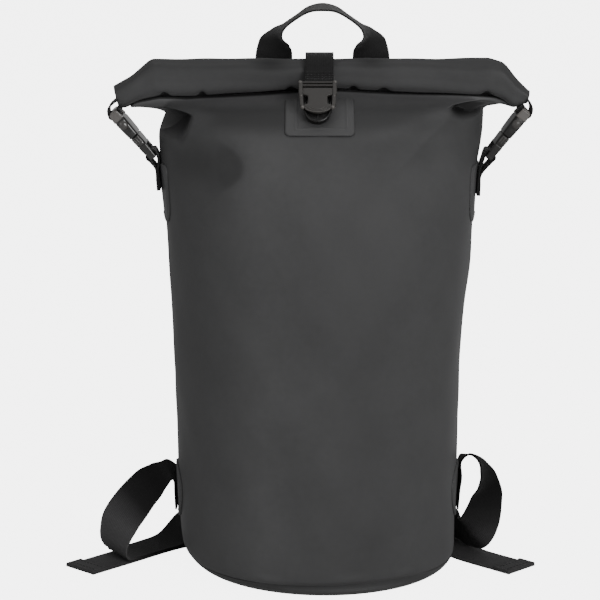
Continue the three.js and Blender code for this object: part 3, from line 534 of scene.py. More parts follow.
def skin(turn, height):
    # Half widths from the table, flat ears added by a power mean, dents and waves, edge laid along the roll
    turn, height = np.broadcast_arrays(np.asarray(turn, float), np.asarray(height, float))
    angle = np.radians(turn)
    sine, cosine = np.sin(angle), np.cos(angle)
    left, right, front, back = sections(height)
    isRight = sine >= 0
    core = np.where(isRight, right, left)
    lowest, full = (np.where(isRight, wings[key][1], wings[key][0]) for key in ("lowest", "full"))
    wingRise = smooth(lowest, full, height)
    reach = core + (np.where(isRight, wings["reach"][1], wings["reach"][0]) - core) * wingRise
    depth = np.where(cosine >= 0, front, back)
    sideways = reach * np.abs(sine)
    coreShare = np.minimum(sideways / core, 1)
    coreDepth = depth * np.where(wingRise > 0, np.sqrt(1 - coreShare ** 2), np.abs(cosine))
    past = np.clip((sideways - (reach - neck["ear"])) / neck["ear"], 0, 1)
    earDepth = neck["ear"] * np.sqrt(1 - past ** 2)
    power = neck["roundness"]
    halfDepth = ((coreDepth / mm) ** power + (earDepth / mm) ** power) ** (1 / power) * mm
    x = sideways * np.sign(sine)
    y = np.where(cosine >= 0, -halfDepth, halfDepth)
    for dent in dents:
        push = dent["depth"] * inDent(dent, turn, height)
        x = x - push * math.sin(math.radians(dent["turn"])) * dentSideways
        y = np.where(y < dentLimit, np.minimum(y + push, dentLimit), y)
    swell = sum(size * np.sin(count * angle + 2 * math.pi * height / mm / span + start)
                for size, count, span, start in waves) * mm
    swell = swell * smooth(*waveStart, height) * (1 - smooth(*waveEnd, height))
    x, y = x + swell * sine, y - swell * cosine
    fall = neck["height"] - alongRoll(rollLowLine, x) - neck["tuck"]
    z = height - fall * smooth(neck["bendFrom"], neck["height"], height)
    return np.stack([x, y, z], -1)


def skinNormal(turn, height):
    # Cross product of the steps around and up
    around = skin(turn + 0.5, height) - skin(turn - 0.5, height)
    up = skin(turn, height + 0.5 * mm) - skin(turn, height - 0.5 * mm)
    return unit(np.cross(around, up))


def onSkin(turn, height, lift):
    # Skin point moved out along its normal
    turn, height = np.broadcast_arrays(np.asarray(turn, float), np.asarray(height, float))
    return skin(turn, height) + skinNormal(turn, height) * np.asarray(lift)[..., None]


# Webbing along a route

def spline(points, places, tension=None):
    # Cubic Hermite pieces through the points: centripetal slopes, or tension times the chord
    points = np.asarray(points, float)
    ends = np.vstack([2 * points[0] - points[1], points, 2 * points[-1] - points[-2]])
    reached = np.asarray(places) * (len(points) - 1)
    piece = np.minimum(reached.astype(int), len(points) - 2)
    share = (reached - piece)[:, None]
    a, b, c, d = (ends[piece + step] for step in range(4))
    if tension is None:
        ab, bc, cd = (np.sqrt(np.linalg.norm(q - p, axis=1))[:, None] for p, q in ((a, b), (b, c), (c, d)))
        start = ((b - a) / ab - (c - a) / (ab + bc) + (c - b) / bc) * bc
        end = ((c - b) / bc - (d - b) / (bc + cd) + (d - c) / cd) * bc
    else:
        start, end = tension * (c - a), tension * (d - b)
    return (b + start * share + (3 * (c - b) - 2 * start - end) * share ** 2
            + (2 * (b - c) + start + end) * share ** 3)


def framesAlong(at, across, steps):
    # Place, width direction, normal and run along a route of stations
    places = np.linspace(0, 1, (len(at) - 1) * steps + 1)
    middle = spline(at, places)
    along = unit(np.gradient(middle, axis=0))
    width = spline(across, places, 0.3)
    width = unit(width - along * np.sum(width * along, axis=1, keepdims=True))
    normal = np.cross(along, width)
    return {"at": middle, "width": width, "normal": normal, "along": along, "run": runAlong(middle)}


selvedge = {"fuller": 0.16, "from": (0.8, 0.97), "groove": 0.1, "grooveAt": (0.78, 0.05)}


def webSection(width, thickness, columns):
    # Closed outline of a woven strap: flat faces with fuller selvedges and half-round edges
    flat = np.linspace(-1, 1, columns) * (width - thickness) / 2
    share = np.abs(flat) / (width / 2)
    fuller = 1 + selvedge["fuller"] * smooth(*selvedge["from"], share)
    fuller = fuller - selvedge["groove"] * bell(share, *selvedge["grooveAt"])
    turn = np.radians([60, 30, 0, -30, -60])
    edge = (width - thickness) / 2 + np.cos(turn) * thickness / 2
    across = np.concatenate([flat, edge, flat[::-1], -edge])
    lift = np.concatenate([fuller, np.sin(turn), -fuller[::-1], -np.sin(turn)])
    return across, lift


def ribbonShape(frames, width, thickness=1.6 * mm, columns=18, raised=None, onTop=True):
    # The strap's outline carried along the frames; raised scales the half thickness of one face
    across, lift = webSection(width, thickness, columns)
    raised = np.ones(len(frames["at"])) if raised is None else raised
    isRaised = (lift > 0) == onTop
    rise = lift[None] * np.where(isRaised[None], raised[:, None], 1) * thickness / 2
    rings = (frames["at"][:, None] + frames["width"][:, None] * across[None, :, None]
             + frames["normal"][:, None] * rise[..., None])
    uv = np.stack(np.broadcast_arrays(across[None], frames["run"][:, None]), -1)
    return tubeShape(rings, uv)


def alongRibbon(frames, run, across, lift):
    # Points on a strap at runs, offsets across and lifts, with their width, normal and along directions
    def at(values):
        return np.stack([np.interp(run, frames["run"], values[:, axis]) for axis in range(3)], -1)
    width, normal, along = (unit(at(frames[key])) for key in ("width", "normal", "along"))
    points = at(frames["at"]) + width * np.asarray(across)[..., None] + normal * np.asarray(lift)[..., None]
    return points, width, normal, along


# Stitches: short rounded bars laid along lines

stitchLook = {
    "length": 3.0 * mm, "gap": 1.1 * mm, "half": 0.34 * mm, "lift": 0.85 * mm, "rings": 6, "sides": 6,
}


def stitchShape(points, along, normal):
    # For each place a bar: a circle of sides carried along its length, thinner at both ends and arched
    rings, sides, half = stitchLook["rings"], stitchLook["sides"], stitchLook["half"]
    place = np.linspace(-1, 1, rings)
    turn = fullTurn(sides)
    radius = half * np.sqrt(np.maximum(0.06, 1 - place ** 4))
    arch = (1 - place ** 2) * half * 0.7 - half * 0.4
    side = unit(np.cross(along, normal))
    lengthwise = place * stitchLook["length"] / 2
    upward = arch[:, None] + radius[:, None] * np.sin(turn)[None]
    sideways = radius[:, None] * np.cos(turn)[None]
    ring = (points[:, None, None] + along[:, None, None] * lengthwise[None, :, None, None]
            + normal[:, None, None] * upward[None, ..., None]
            + side[:, None, None] * sideways[None, ..., None])
    starts = np.arange(len(points)) * rings * sides
    faces = (gridFaces(rings, sides, True)[None] + starts[:, None, None]).reshape(-1, 4).tolist()
    for end in (0, (rings - 1) * sides):
        faces += (starts[:, None] + end + np.arange(sides)[None]).tolist()
    flat = ring.reshape(-1, 3)
    return flat, faces, np.zeros((len(flat), 2))


def stitchesOnRibbon(frames, lines, lift):
    # Lines as start and end (run, across); stitches spread evenly along each
    shapes = []
    pitch = stitchLook["length"] + stitchLook["gap"]
    for (runA, acrossA), (runB, acrossB) in lines:
        count = max(1, int(round(math.hypot(runB - runA, acrossB - acrossA) / pitch)))
        share = (np.arange(count) + 0.5) / count
        run, across = runA + (runB - runA) * share, acrossA + (acrossB - acrossA) * share
        points, width, normal, along = alongRibbon(frames, run, across, np.full(count, lift))
        way = unit(along * (runB - runA) + width * (acrossB - acrossA))
        shapes.append(stitchShape(points, way, normal * np.sign(lift)))
    return joined(shapes)


def boxLines(runA, runB, half):
    # A sewn box with its cross
    return [((runA, -half), (runB, -half)), ((runB, -half), (runB, half)), ((runB, half), (runA, half)),
            ((runA, half), (runA, -half)), ((runA, -half), (runB, half)), ((runA, half), (runB, -half))]


# Strap webbing: the two free cords

overPatch = 2.4 * mm
overYoke = 3.1 * mm
strap = {
    "width": 38 * mm, "hem": 18 * mm, "hemStep": (-1.2 * mm, 0.4 * mm), "hemLift": 2.4 * mm,
    "hemSeam": 4 * mm, "endSeam": 5 * mm, "sewnBox": (4 * mm, 26 * mm), "seamHalf": 15 * mm, "turn": 92,
    "sewnHeights": np.array([54, 70, 82]) * mm, "sewnLifts": np.array([0, 0.2, 0.8]) * mm,
}
ladderLock = {"spread": 0.05, "y": 0.143, "z": 0.052, "lean": 17}
looseRoutes = {  # middle line in metres and the direction of the width, from the anchor to the lock
    "left": [
        ((-0.1375, 0.002, 0.0866), (0.02, 0.96, 0.22)), ((-0.146, 0, 0.0826), (-0.16, 0.85, 0.45)),
        ((-0.1576, -0.002, 0.0726), (-0.46, 0.62, 0.62)), ((-0.174, 0, 0.052), (-0.8, 0.42, 0.42)),
        ((-0.183, 0.001, 0.038), (-0.84, 0.42, 0.32)), ((-0.1875, 0.001, 0.025), (-0.76, 0.6, 0.22)),
        ((-0.188, 0.0005, 0.014), (-0.66, 0.74, 0.08)), ((-0.1845, 0.003, 0.0064), (-0.5, 0.86, 0)),
        ((-0.173, 0.014, 0.0046), (-0.6, 0.8, 0)), ((-0.157, 0.03, 0.0046), (-0.68, 0.73, 0)),
        ((-0.139, 0.05, 0.0054), (-0.68, 0.73, 0.04)), ((-0.1205, 0.0795, 0.0165), (-0.64, 0.74, 0.1)),
        ((-0.104, 0.106, 0.019), (-0.62, 0.7, 0.12)), ((-0.0885, 0.127, 0.017), (-0.68, 0.72, 0.05)),
        ((-0.067, 0.1375, 0.0165), (-0.85, 0.5, 0)),
    ],
    "right": [
        ((0.1312, 0.003, 0.097), (0, 0.98, -0.2)), ((0.138, 0.003, 0.101), (0.02, 0.96, -0.28)),
        ((0.1445, 0.003, 0.0975), (0.1, 0.96, -0.25)), ((0.151, 0.003, 0.088), (0.3, 0.93, -0.2)),
        ((0.155, 0.003, 0.076), (0.5, 0.84, -0.05)), ((0.1545, 0.004, 0.06), (0.78, 0.55, -0.1)),
        ((0.149, 0.007, 0.0365), (0.86, 0.25, -0.4)), ((0.142, 0.018, 0.022), (0.65, -0.15, -0.7)),
        ((0.135, 0.038, 0.0205), (0.4, -0.3, -0.87)), ((0.126, 0.064, 0.021), (0.35, -0.25, -0.9)),
        ((0.112, 0.09, 0.0195), (0.6, 0.25, -0.75)), ((0.098, 0.11, 0.0175), (0.7, 0.55, -0.4)),
        ((0.087, 0.128, 0.017), (0.68, 0.72, -0.05)), ((0.067, 0.1385, 0.0165), (0.85, 0.5, 0)),
    ],
}
looseEnds = {  # down from the lock, then along the floor to the hemmed end, in metres
    "left": [
        (-0.0575, 0.1475, 0.02), (-0.061, 0.145, 0.0095), (-0.068, 0.137, 0.003), (-0.084, 0.1155, 0.0011),
        (-0.102, 0.08, 0.0011), (-0.1451, 0.0468, 0.0011), (-0.1837, 0.0063, 0.0011),
        (-0.2037, -0.0147, 0.0011), (-0.2058, -0.0169, 0.0011), (-0.2182, -0.0299, 0.0011),
    ],
    "right": [
        (0.0575, 0.1475, 0.02), (0.061, 0.145, 0.0095), (0.068, 0.137, 0.003), (0.084, 0.1165, 0.0011),
        (0.0985, 0.099, 0.0011), (0.111, 0.08, 0.0011), (0.1215, 0.058, 0.0011), (0.129, 0.037, 0.0011),
        (0.14, 0.0175, 0.0011), (0.1703, -0.0137, 0.0011), (0.1724, -0.0158, 0.0011),
        (0.1852, -0.0284, 0.0011),
    ],
}
throughLock = np.array([
    [-21, -7.2], [-12, -7], [-4, -5.4], [3.8, -3.6], [6.6, 0], [3.8, 3.6], [-4, 4.8], [-20, 6.5],
]) * mm  # up along the lock and out of it
loopWidth = 34 * mm


def lockAxes(sign):
    # Middle, up and across of a ladder lock
    lean = math.radians(ladderLock["lean"])
    middle = np.array([sign * ladderLock["spread"], ladderLock["y"], ladderLock["z"]])
    up = np.array([-sign * math.sin(lean), 0, math.cos(lean)])
    across = np.array([-math.cos(lean), 0, -sign * math.sin(lean)])
    return middle, up, across


def strapFrames(name, sign):
    # From the sewn start over the loose loop, through the lock and along the floor
    middle, up, across = lockAxes(sign)
    acrossLock = across if name == "left" else -across
    turn, heights = sign * strap["turn"], strap["sewnHeights"]
    sewn = onSkin(turn, heights, overPatch + strap["sewnLifts"])
    sewnAcross = unit(skin(turn + 2 * sign, heights) - skin(turn - 2 * sign, heights))
    loop = np.array([at for at, _ in looseRoutes[name]])
    loopAcross = np.array([way for _, way in looseRoutes[name]], float)
    lock = middle + up * throughLock[:, :1] + np.array([0, 1, 0]) * throughLock[:, 1:]
    lockAcross = np.repeat(acrossLock[None], len(lock), axis=0)
    floor = np.array(looseEnds[name])
    ahead = np.vstack([floor[1:], floor[-1:]]) - np.vstack([floor[:1], floor[:-1]])
    level = unit(np.stack([-ahead[:, 1], ahead[:, 0], np.zeros(len(floor))], -1))
    level *= np.sign(level @ acrossLock)[:, None]
    level[0] += acrossLock
    return framesAlong(np.vstack([sewn, loop, lock, floor]),
                       np.vstack([sewnAcross, loopAcross, lockAcross, level]), 14)


strapPaintedLight = {  # tone of painted light and shade at runs from the strap's start, then at runs from its loose end, in millimetres
    "left": (
        ((0, 0.6), (52, 0.7), (78, 1.6), (95, 5.5), (105, 7.5), (132, 7), (150, 1.8), (165, 0.6)),
        ((190, 0.6), (150, 5), (0, 5)),
    ),
    "right": (
        ((0, 0.35), (45, 0.3), (60, 0.1), (90, 0.12), (108, 1), (122, 2.4), (140, 6.5), (180, 10),
         (215, 0.6)),
        ((190, 0.6), (140, 5), (0, 5)),
    ),
}


def makeStrapWebbing(name, sign):
    # Webbing with painted light and shade along its run and a doubled hem, and its stitches, which go with
    # the cord
    frames = strapFrames(name, sign)
    total = frames["run"][-1]
    hem = total - strap["hem"]
    before, after = strap["hemStep"]
    double = 1 + 2 * smooth(hem + before, hem + after, frames["run"])
    isUp = frames["normal"][-1, 2] > 0
    shape = ribbonShape(frames, strap["width"], columns=26, raised=double, onTop=isUp)
    first, last = strapPaintedLight[name]
    runs = [run * mm for run, _ in first] + [total - run * mm for run, _ in last]
    # Painted light and shade along the strap's run
    tone = np.interp(frames["run"], runs, [tone for _, tone in first + last])
    paintedLightAndShade = np.repeat(tone, len(shape[0]) // len(tone))
    piece = addPiece("strap_webbing_" + name, shape, strapWebbing, paintedLightAndShade)
    half = strap["seamHalf"]
    hemRuns = hem + strap["hemSeam"], total - strap["endSeam"]
    hemLines = [((run, -half), (run, half)) for run in hemRuns]
    hemStitches = stitchesOnRibbon(frames, hemLines, strap["hemLift"] if isUp else -strap["hemLift"])
    outside = stitchLook["lift"] * np.sign(sign * frames["normal"][4, 0])
    sewnStitches = stitchesOnRibbon(frames, boxLines(*strap["sewnBox"], half), outside)
    stitches = joined([hemStitches, sewnStitches])
    sewn = addPiece("strap_stitches_" + name, stitches, thread, extra=True)
    print("cord", name, round(float(total), 3))


for sideName, sideSign in bothSides:
    makeStrapWebbing(sideName, sideSign)
print("cords ready")


# Bag body, base and roll

frontStart = (-0.55, -0.1)  # sines of the turns where the base's front comes in
frontEnd = (0.55, 0.85)


def atFront(turn):
    # One over the middle of the base's front, zero at its sides and back
    side = np.sin(turn)
    return smooth(*frontStart, side) * (1 - smooth(*frontEnd, side)) * (np.cos(turn) > 0)


bag = {
    "columns": 400, "wall": 1.5 * mm, "drawnIn": 0.022, "drawnTo": (14 * mm, 18 * mm), "innerSeam": 0.97,
}
bagHeights = np.concatenate([
    np.linspace(14, 24, 14), np.linspace(28, 330, 44), np.linspace(334, 396, 44),
    np.linspace(397, 433.7, 60),
]) * mm  # closer together at the seam and towards the roll
bagInnerHeights = np.concatenate([np.linspace(433.7, 405, 8), np.linspace(380, 14, 8)]) * mm
# Painted light and shade on the bag's body: a band of painted shade under the roll, painted light on the
# cloth just below the roll, a thin painted shadow line right under it, and broad zones of painted light and
# shade on the front
paintedShadeBand = {
    "start": (402 * mm, 416 * mm), "end": (422 * mm, 427.5 * mm), "dark": 0.45, "lessAtRight": 0.09,
    "sides": (36, 50), "lessAtSides": 0.85,
}
paintedLightUnderRoll = {"from": 425, "over": 7.5, "light": 1.4}  # millimetres
paintedShadowLine = {"height": 431.2, "higherAtRight": 0.8, "dark": 0.92}
paintedLightZones = ((0.15, -21, 11), (-0.16, 18, 15))  # added tone, painted light above zero and painted shade below, turn, spread
zonesEnd = (395 * mm, 415 * mm)


def bagPaintedLight(turns, level):
    # Painted light and shade: a dark band and a thin shadow line under the roll, lit cloth between them,
    # broad zones, then the painted spots
    isRight = smooth(-20, 20, turns)
    band = smooth(*paintedShadeBand["start"], level) * (1 - smooth(*paintedShadeBand["end"], level))
    band = band * (1 - paintedShadeBand["lessAtSides"] * smooth(*paintedShadeBand["sides"], np.abs(turns)))
    lit = 1 + paintedLightUnderRoll["light"] * np.clip((level / mm - paintedLightUnderRoll["from"]) / paintedLightUnderRoll["over"], 0, 1) ** 2
    lineHeight = (paintedShadowLine["height"] + paintedShadowLine["higherAtRight"] * isRight) * mm
    line = 1 - paintedShadowLine["dark"] * smooth(0, mm, level - lineHeight)
    zones = sum(added * bell(turns, middle, spread) for added, middle, spread in paintedLightZones)
    tone = (1 - (paintedShadeBand["dark"] - paintedShadeBand["lessAtRight"] * isRight) * band) * lit * line
    tone = tone * (1 + zones * (1 - smooth(*zonesEnd, level)))
    for place in paintedSpots:
        tone = tone * (1 - place["paintedShade"] * inDent(place, turns, level))
    return tone


def makeBagBody():
    # The skin as a dense grid outside and a coarse one inside, joined at the seam and at the neck
    turns = np.linspace(-180, 180, bag["columns"], endpoint=False)[None]
    heights, inner = bagHeights[:, None], bagInnerHeights[:, None]
    outside = onSkin(turns, heights, 0)
    drawn = (1 - smooth(*bag["drawnTo"], heights)) * atFront(np.radians(turns)) * bag["drawnIn"]
    outside[..., :2] *= 1 - drawn[..., None]
    inside = onSkin(turns, inner, -bag["wall"])
    inside[-1, :, :2] *= bag["innerSeam"]
    rings = np.concatenate([outside, inside])
    rows, columns = rings.shape[:2]
    first = np.arange(columns)
    closing = np.stack([first, np.roll(first, -1)], -1)
    rim = np.concatenate([closing, (rows - 1) * columns + closing[:, ::-1]], axis=1)
    faces = np.concatenate([gridFaces(rows, columns, True), rim])
    points = rings.reshape(-1, 3)
    # Painted light and shade for each point of the skin, inside and out
    tone = bagPaintedLight(turns, np.concatenate([heights, inner]))
    shape = points, faces.tolist(), np.zeros((len(points), 2))
    addPiece("bag_body", shape, tarpaulin, tone.ravel())


base = {
    "rim": 25 * mm, "skew": 0.22, "halfWidth": 125 * mm, "front": 121 * mm, "back": 119 * mm,
    "seam": 12.7 * mm, "inside": 15 * mm, "strip": 46, "paintedGrooveShade": 0.8, "columns": 320, "rimSteps": 12,
    "middle": 0.999, "flat": 40 * mm, "flare": 0.25,
}
baseGrooves = ((0.1, 0.9), (0.6, 1.7), (1.2, 2.3), (1.6, 3.2), (1.8, 5), (1.6, 8), (2.6, 12))  # inset, rise


def makeBasePanel():
    # Rings from the middle of the bottom over a round rim and a grooved band to the seam, and back inside
    turn = fullTurn(base["columns"])
    radius = base["rim"] * (1 - base["skew"] * np.sin(turn))
    depth = np.where(np.cos(turn) >= 0, base["front"], base["back"])

    def ring(reach, height):
        x = (base["halfWidth"] + reach) * np.sin(turn)
        y = -(depth + reach) * np.cos(turn)
        return np.stack([x, y, np.broadcast_to(height, x.shape)], -1)

    middle = -base["halfWidth"] * base["middle"]
    rings = [ring(middle, 0), ring(-radius - base["flat"], 0)]
    for fall in np.linspace(90, base["strip"], base["rimSteps"]):
        slope = math.radians(fall)
        rings.append(ring(radius * math.cos(slope) - radius, radius - radius * math.sin(slope)))
    strip = math.radians(base["strip"])
    front = atFront(turn)
    outer, height = radius * math.cos(strip) - radius, radius - radius * math.sin(strip)
    seamSlope = np.arcsin(1 - base["seam"] / radius)
    for number, (inset, rise) in enumerate(baseGrooves, 1):
        slope = strip + (seamSlope - strip) * number / len(baseGrooves)
        reach = radius * np.cos(slope) - radius
        rings.append(ring(reach + (outer - inset * mm + rise * base["flare"] * mm - reach) * front,
                          (radius - radius * np.sin(slope)) * (1 - front) + (height + rise * mm) * front))
    rings += [ring(-base["flat"], base["inside"]), ring(middle, base["inside"])]
    # Painted shade on the rings of the grooved band
    tone = np.ones((len(rings), len(turn)))
    tone[-2 - len(baseGrooves):-2] = base["paintedGrooveShade"]
    addPiece("base_panel", tubeShape(np.array(rings)), tarpaulin, tone.ravel())


rollNotches = np.array([[-137, 3.5], [-104, 3], [-25, 3], [30, 3], [57, 4], [148, 4]]) * mm  # place, width
notch = {"turn": 256, "spread": 24, "up": 4.5 * mm, "back": 2.0 * mm}
rollTail = 5  # points of the flat end under the spiral
rollGrid = {"steps": 130, "stations": 260, "crowding": 1.25, "outerTurn": (1.2 * math.pi, 2.2 * math.pi)}
rollSway = ((6, 31, 0), (4, 13, 1))  # degrees, length in millimetres, start
rollCrests = ((0.1, 152, 18), (-0.06, 118, 18), (-0.06, 190, 18), (0.07, 226, 16))  # rise, turn, spread
rollRipples = ((0.014, 7.3, 2), (0.016, 17, -1))  # rise, length in millimetres, waves in a turn
# Painted light and shade on the roll by the way it faces: darker on top, lighter towards the front and the
# low front, dark underneath, and a painted shadow of the handle's feet on its top
rollPlain = 0.7
rollPaintedLight = ((0.33, 140, 178), (0.55, 222, 248), (-1.2, 253, 267))  # added tone, painted light above zero and painted shade below, from and to which turn
handleShadow = {"dark": 0.4, "until": (125, 165), "feet": ((-43 * mm, 15 * mm), (45 * mm, 13 * mm))}


def makeRollTop():
    # A flat spiral with a crest, carried along the roll between its top and lower lines; the tips draw in
    stations, crowding = rollGrid["stations"], rollGrid["crowding"]
    spread = np.sin(np.linspace(-1, 1, stations) * crowding)
    x = roll["shift"] + roll["halfLength"] * spread / math.sin(crowding)
    place = x[:, None] / mm
    top, low = alongRoll(rollTopLine, x), alongRoll(rollLowLine, x)
    halfHeight = (top - low)[:, None] / 2
    halfDepth = roll["halfDepth"] * (1 - (1 - roll["tipScale"]) * pastBend(x)[:, None])
    turn = np.linspace(0, roll["turns"] * 2 * math.pi, rollGrid["steps"])[None]
    shrink = (roll["pitch"] * turn / (2 * math.pi) + roll["layer"] / 2) * halfDepth / roll["halfDepth"]
    outer = 1 - smooth(*rollGrid["outerTurn"], turn)
    sway = sum(size * np.sin(place / length + start) for size, length, start in rollSway)
    facing = np.degrees(turn) + sway
    crest = sum(size * bell(facing, middle, width) for size, middle, width in rollCrests)
    ripple = sum(size * np.sin(place / length + count * turn) for size, length, count in rollRipples)
    swell = 1 + (crest + ripple) * outer
    deep = (halfDepth - shrink) * np.cos(turn) * swell
    high = (halfHeight - shrink) * np.sin(turn) * swell
    atNotch = bell(np.degrees(turn), notch["turn"], notch["spread"])
    for middle, width in rollNotches:
        pinch = bell(x[:, None], middle, width) * atNotch * outer
        high = high + pinch * notch["up"]
        deep = deep + pinch * notch["back"]
    tail = np.linspace(-1.02, -0.2, rollTail)[None]
    tailDeep = np.repeat(halfDepth - roll["layer"] / 2, rollTail, axis=1)
    deep, high = np.concatenate([tailDeep, deep], axis=1), np.concatenate([halfHeight * tail, high], axis=1)
    outward = unit(np.stack([np.gradient(high, axis=1), -np.gradient(deep, axis=1)], -1))
    lean = roll["lean"] * pastBend(x) * np.sign(x - roll["shift"])

    def side(lift):
        y = deep + outward[..., 0] * lift
        z = high + outward[..., 1] * lift
        across = x[:, None] + lean[:, None] * z
        return np.stack([across, y - roll["forward"], z + (top + low)[:, None] / 2], -1)

    half = roll["layer"] / 2
    facing = np.concatenate([np.full((stations, rollTail), -90.0), facing], axis=1)
    # Painted light and shade by the way each point faces, then the painted shadow of the handle's feet
    tone = sum((added * smooth(start, end, facing) for added, start, end in rollPaintedLight), rollPlain)
    feet = sum(bell(x, middle, width) for middle, width in handleShadow["feet"])
    tone = tone - handleShadow["dark"] * feet[:, None] * (1 - smooth(*handleShadow["until"], facing))
    shape = slabShape(side(half), side(-half))
    addPiece("roll_top", shape, tarpaulin, np.tile(tone.ravel(), 2))


makeBagBody()
makeBasePanel()
makeRollTop()
print("cloth ready")


# Welded patches

def cornerInset(distance, radius):
    # How far an outline with rounded corners draws in near its ends
    inside = np.maximum(0, radius - distance)
    return radius - np.sqrt(np.maximum(0, radius ** 2 - inside ** 2))


patchLook = {
    "thickness": 1.2 * mm, "sunk": 0.4 * mm, "weldHeight": 0.7 * mm, "weldWidth": 0.7 * mm,
    "softEdge": (-0.2 * mm, 1.2 * mm), "paintedShadeEdge": (0.3 * mm, 1.3 * mm), "dark": 0.35, "paintedWeldHighlight": 0.12,
}
frontPatch = {"low": 405, "high": 428, "half": 30.5, "corner": 5, "slope": 1.7, "welds": (10, 6.5, 9)}
sidePatch = {
    "turn": 90, "low": 322, "high": 374, "half": 17, "corners": (15, 5), "perMm": 0.45, "welds": (5, 5, 5),
}
anchorPatch = {"turn": 87, "low": 47.5, "high": 98.5, "half": 12.5, "round": 26, "welds": (4, 4, 4)}
yoke = {
    "low": 368, "high": 421, "half": 34, "corner": 12, "perMm": 0.5, "narrowing": (390, 421, 0.18),
    "welds": (6, 6, 6),
}


def addPatch(name, middleTurn, heights, halfTurns, welds, clearance=0.3 * mm, columns=56):
    # A slab on the skin: the lift rises over a soft edge, with raised weld lines inside its edges; painted
    # shade darkens its edges and painted highlights lighten its weld lines
    share = np.linspace(-1, 1, columns)[None]
    halves = halfTurns if isinstance(halfTurns, tuple) else (halfTurns, halfTurns)
    turns = middleTurn + share * np.where(share < 0, halves[0][:, None], halves[1][:, None])
    levels = np.broadcast_to(heights[:, None], turns.shape)
    ground = skin(turns, levels)
    outward = skinNormal(turns, levels)
    fromLeft, fromFoot = runAlong(ground, 1), runAlong(ground, 0)
    fromRight, fromTop = fromLeft[:, -1:] - fromLeft, fromFoot[-1:] - fromFoot
    edge = np.minimum.reduce([fromLeft, fromRight, fromFoot, fromTop])
    inner, ridge = True, 0
    for distance, weld in zip((fromLeft, fromRight, fromFoot), welds):
        inner = inner & (distance > weld * mm - mm)
        ridge = np.maximum(ridge, bell(distance, weld * mm, patchLook["weldWidth"]))
    lift = clearance + patchLook["thickness"] * np.sqrt(smooth(*patchLook["softEdge"], edge))
    lift = lift + patchLook["weldHeight"] * ridge * inner
    # Painted shade along the edges and painted highlights on the weld lines
    tone = 1 - patchLook["dark"] * (1 - smooth(*patchLook["paintedShadeEdge"], edge))
    tone = tone + patchLook["paintedWeldHighlight"] * ridge * inner
    shape = slabShape(ground + outward * lift[..., None], ground - outward * patchLook["sunk"])
    addPiece(name, shape, patchCloth, np.tile(tone.ravel(), 2))


def reachAt(side, heights):
    # How far the skin reaches to the left or right at each height, with the neck's ears
    core = sections(heights)[side]
    ears = smooth(wings["lowest"][side], wings["full"][side], heights)
    return core + (wings["reach"][side] - core) * ears


def tightEnds(patch, count):
    # Heights that crowd towards both ends of a patch
    low, high = patch["low"], patch["high"]
    return ((low + high) / 2 - (high - low) / 2 * np.cos(np.linspace(0, math.pi, count))) * mm


def makePatches():
    # Outlines as half turns at each height, drawn in at their corners; perMm is degrees for each millimetre
    heights = tightEnds(frontPatch, 48)
    fromFoot = (heights - frontPatch["low"] * mm) * frontPatch["slope"]  # the skin slopes here
    half = frontPatch["half"] * mm - cornerInset(fromFoot, frontPatch["corner"] * mm)
    halfTurns = tuple(np.degrees(np.arcsin(half / reachAt(side, heights))) for side in (0, 1))
    addPatch("front_patch", 0, heights, halfTurns, frontPatch["welds"])
    for name, sign in bothSides:
        heights = tightEnds(sidePatch, 40)
        foot, top = sidePatch["corners"]
        draw = (cornerInset(heights - sidePatch["low"] * mm, foot * mm)
                + cornerInset(sidePatch["high"] * mm - heights, top * mm))
        halfTurns = sidePatch["half"] - draw / mm * sidePatch["perMm"]
        middleTurn = sign * sidePatch["turn"]
        addPatch("side_patch_" + name, middleTurn, heights, halfTurns, sidePatch["welds"])
        heights = tightEnds(anchorPatch, 40)
        middle = (anchorPatch["low"] + anchorPatch["high"]) / 2
        halfTurns = anchorPatch["half"] * np.sqrt(1 - ((heights / mm - middle) / anchorPatch["round"]) ** 2)
        middleTurn = sign * anchorPatch["turn"]
        addPatch("anchor_patch_" + name, middleTurn, heights, halfTurns, anchorPatch["welds"])
    heights = tightEnds(yoke, 60)
    start, end, share = yoke["narrowing"]
    draw = cornerInset(heights - yoke["low"] * mm, yoke["corner"] * mm)
    halfTurns = yoke["half"] - draw / mm * yoke["perMm"]
    halfTurns = halfTurns * (1 - share * smooth(start * mm, end * mm, heights))
    addPatch("back_yoke", 180, heights, halfTurns, yoke["welds"], clearance=0.7 * mm)


makePatches()
print("patches ready")


# Straps, handle and tabs

strapWidth = 25 * mm
anchorWidth = 18 * mm
buckleSide = {
    "half": 27.6 * mm, "y": -6 * mm,
    "left": ((-0.1835, 0.4206), (-0.1465, 0.3786)), "right": ((0.1833, 0.4214), (0.1495, 0.3786)),
}


def sideAxes(name, sign):
    # Middle, up, across and out of a side buckle
    (upperX, upperZ), (lowerX, lowerZ) = buckleSide[name]
    up = unit(np.array([upperX - lowerX, 0, upperZ - lowerZ]))
    middle = np.array([(upperX + lowerX) / 2, buckleSide["y"], (upperZ + lowerZ) / 2])
    across = np.array([0, float(sign), 0])
    return middle, up, across, np.cross(across, up)


def evenRibbon(points, across, steps=12):
    # Frames of a strap whose width keeps one direction
    points = np.asarray(points, float)
    return framesAlong(points, np.repeat(np.asarray(across, float)[None], len(points), axis=0), steps)


def addWebbing(name, frames, width, **more):
    # A strap of plain webbing along the frames
    addPiece(name, ribbonShape(frames, width, **more), webbing)


def addStitches(name, frames, lines, lift):
    # Lines of stitches on a strap, as an extra
    addPiece(name, stitchesOnRibbon(frames, lines, lift), thread, extra=True)


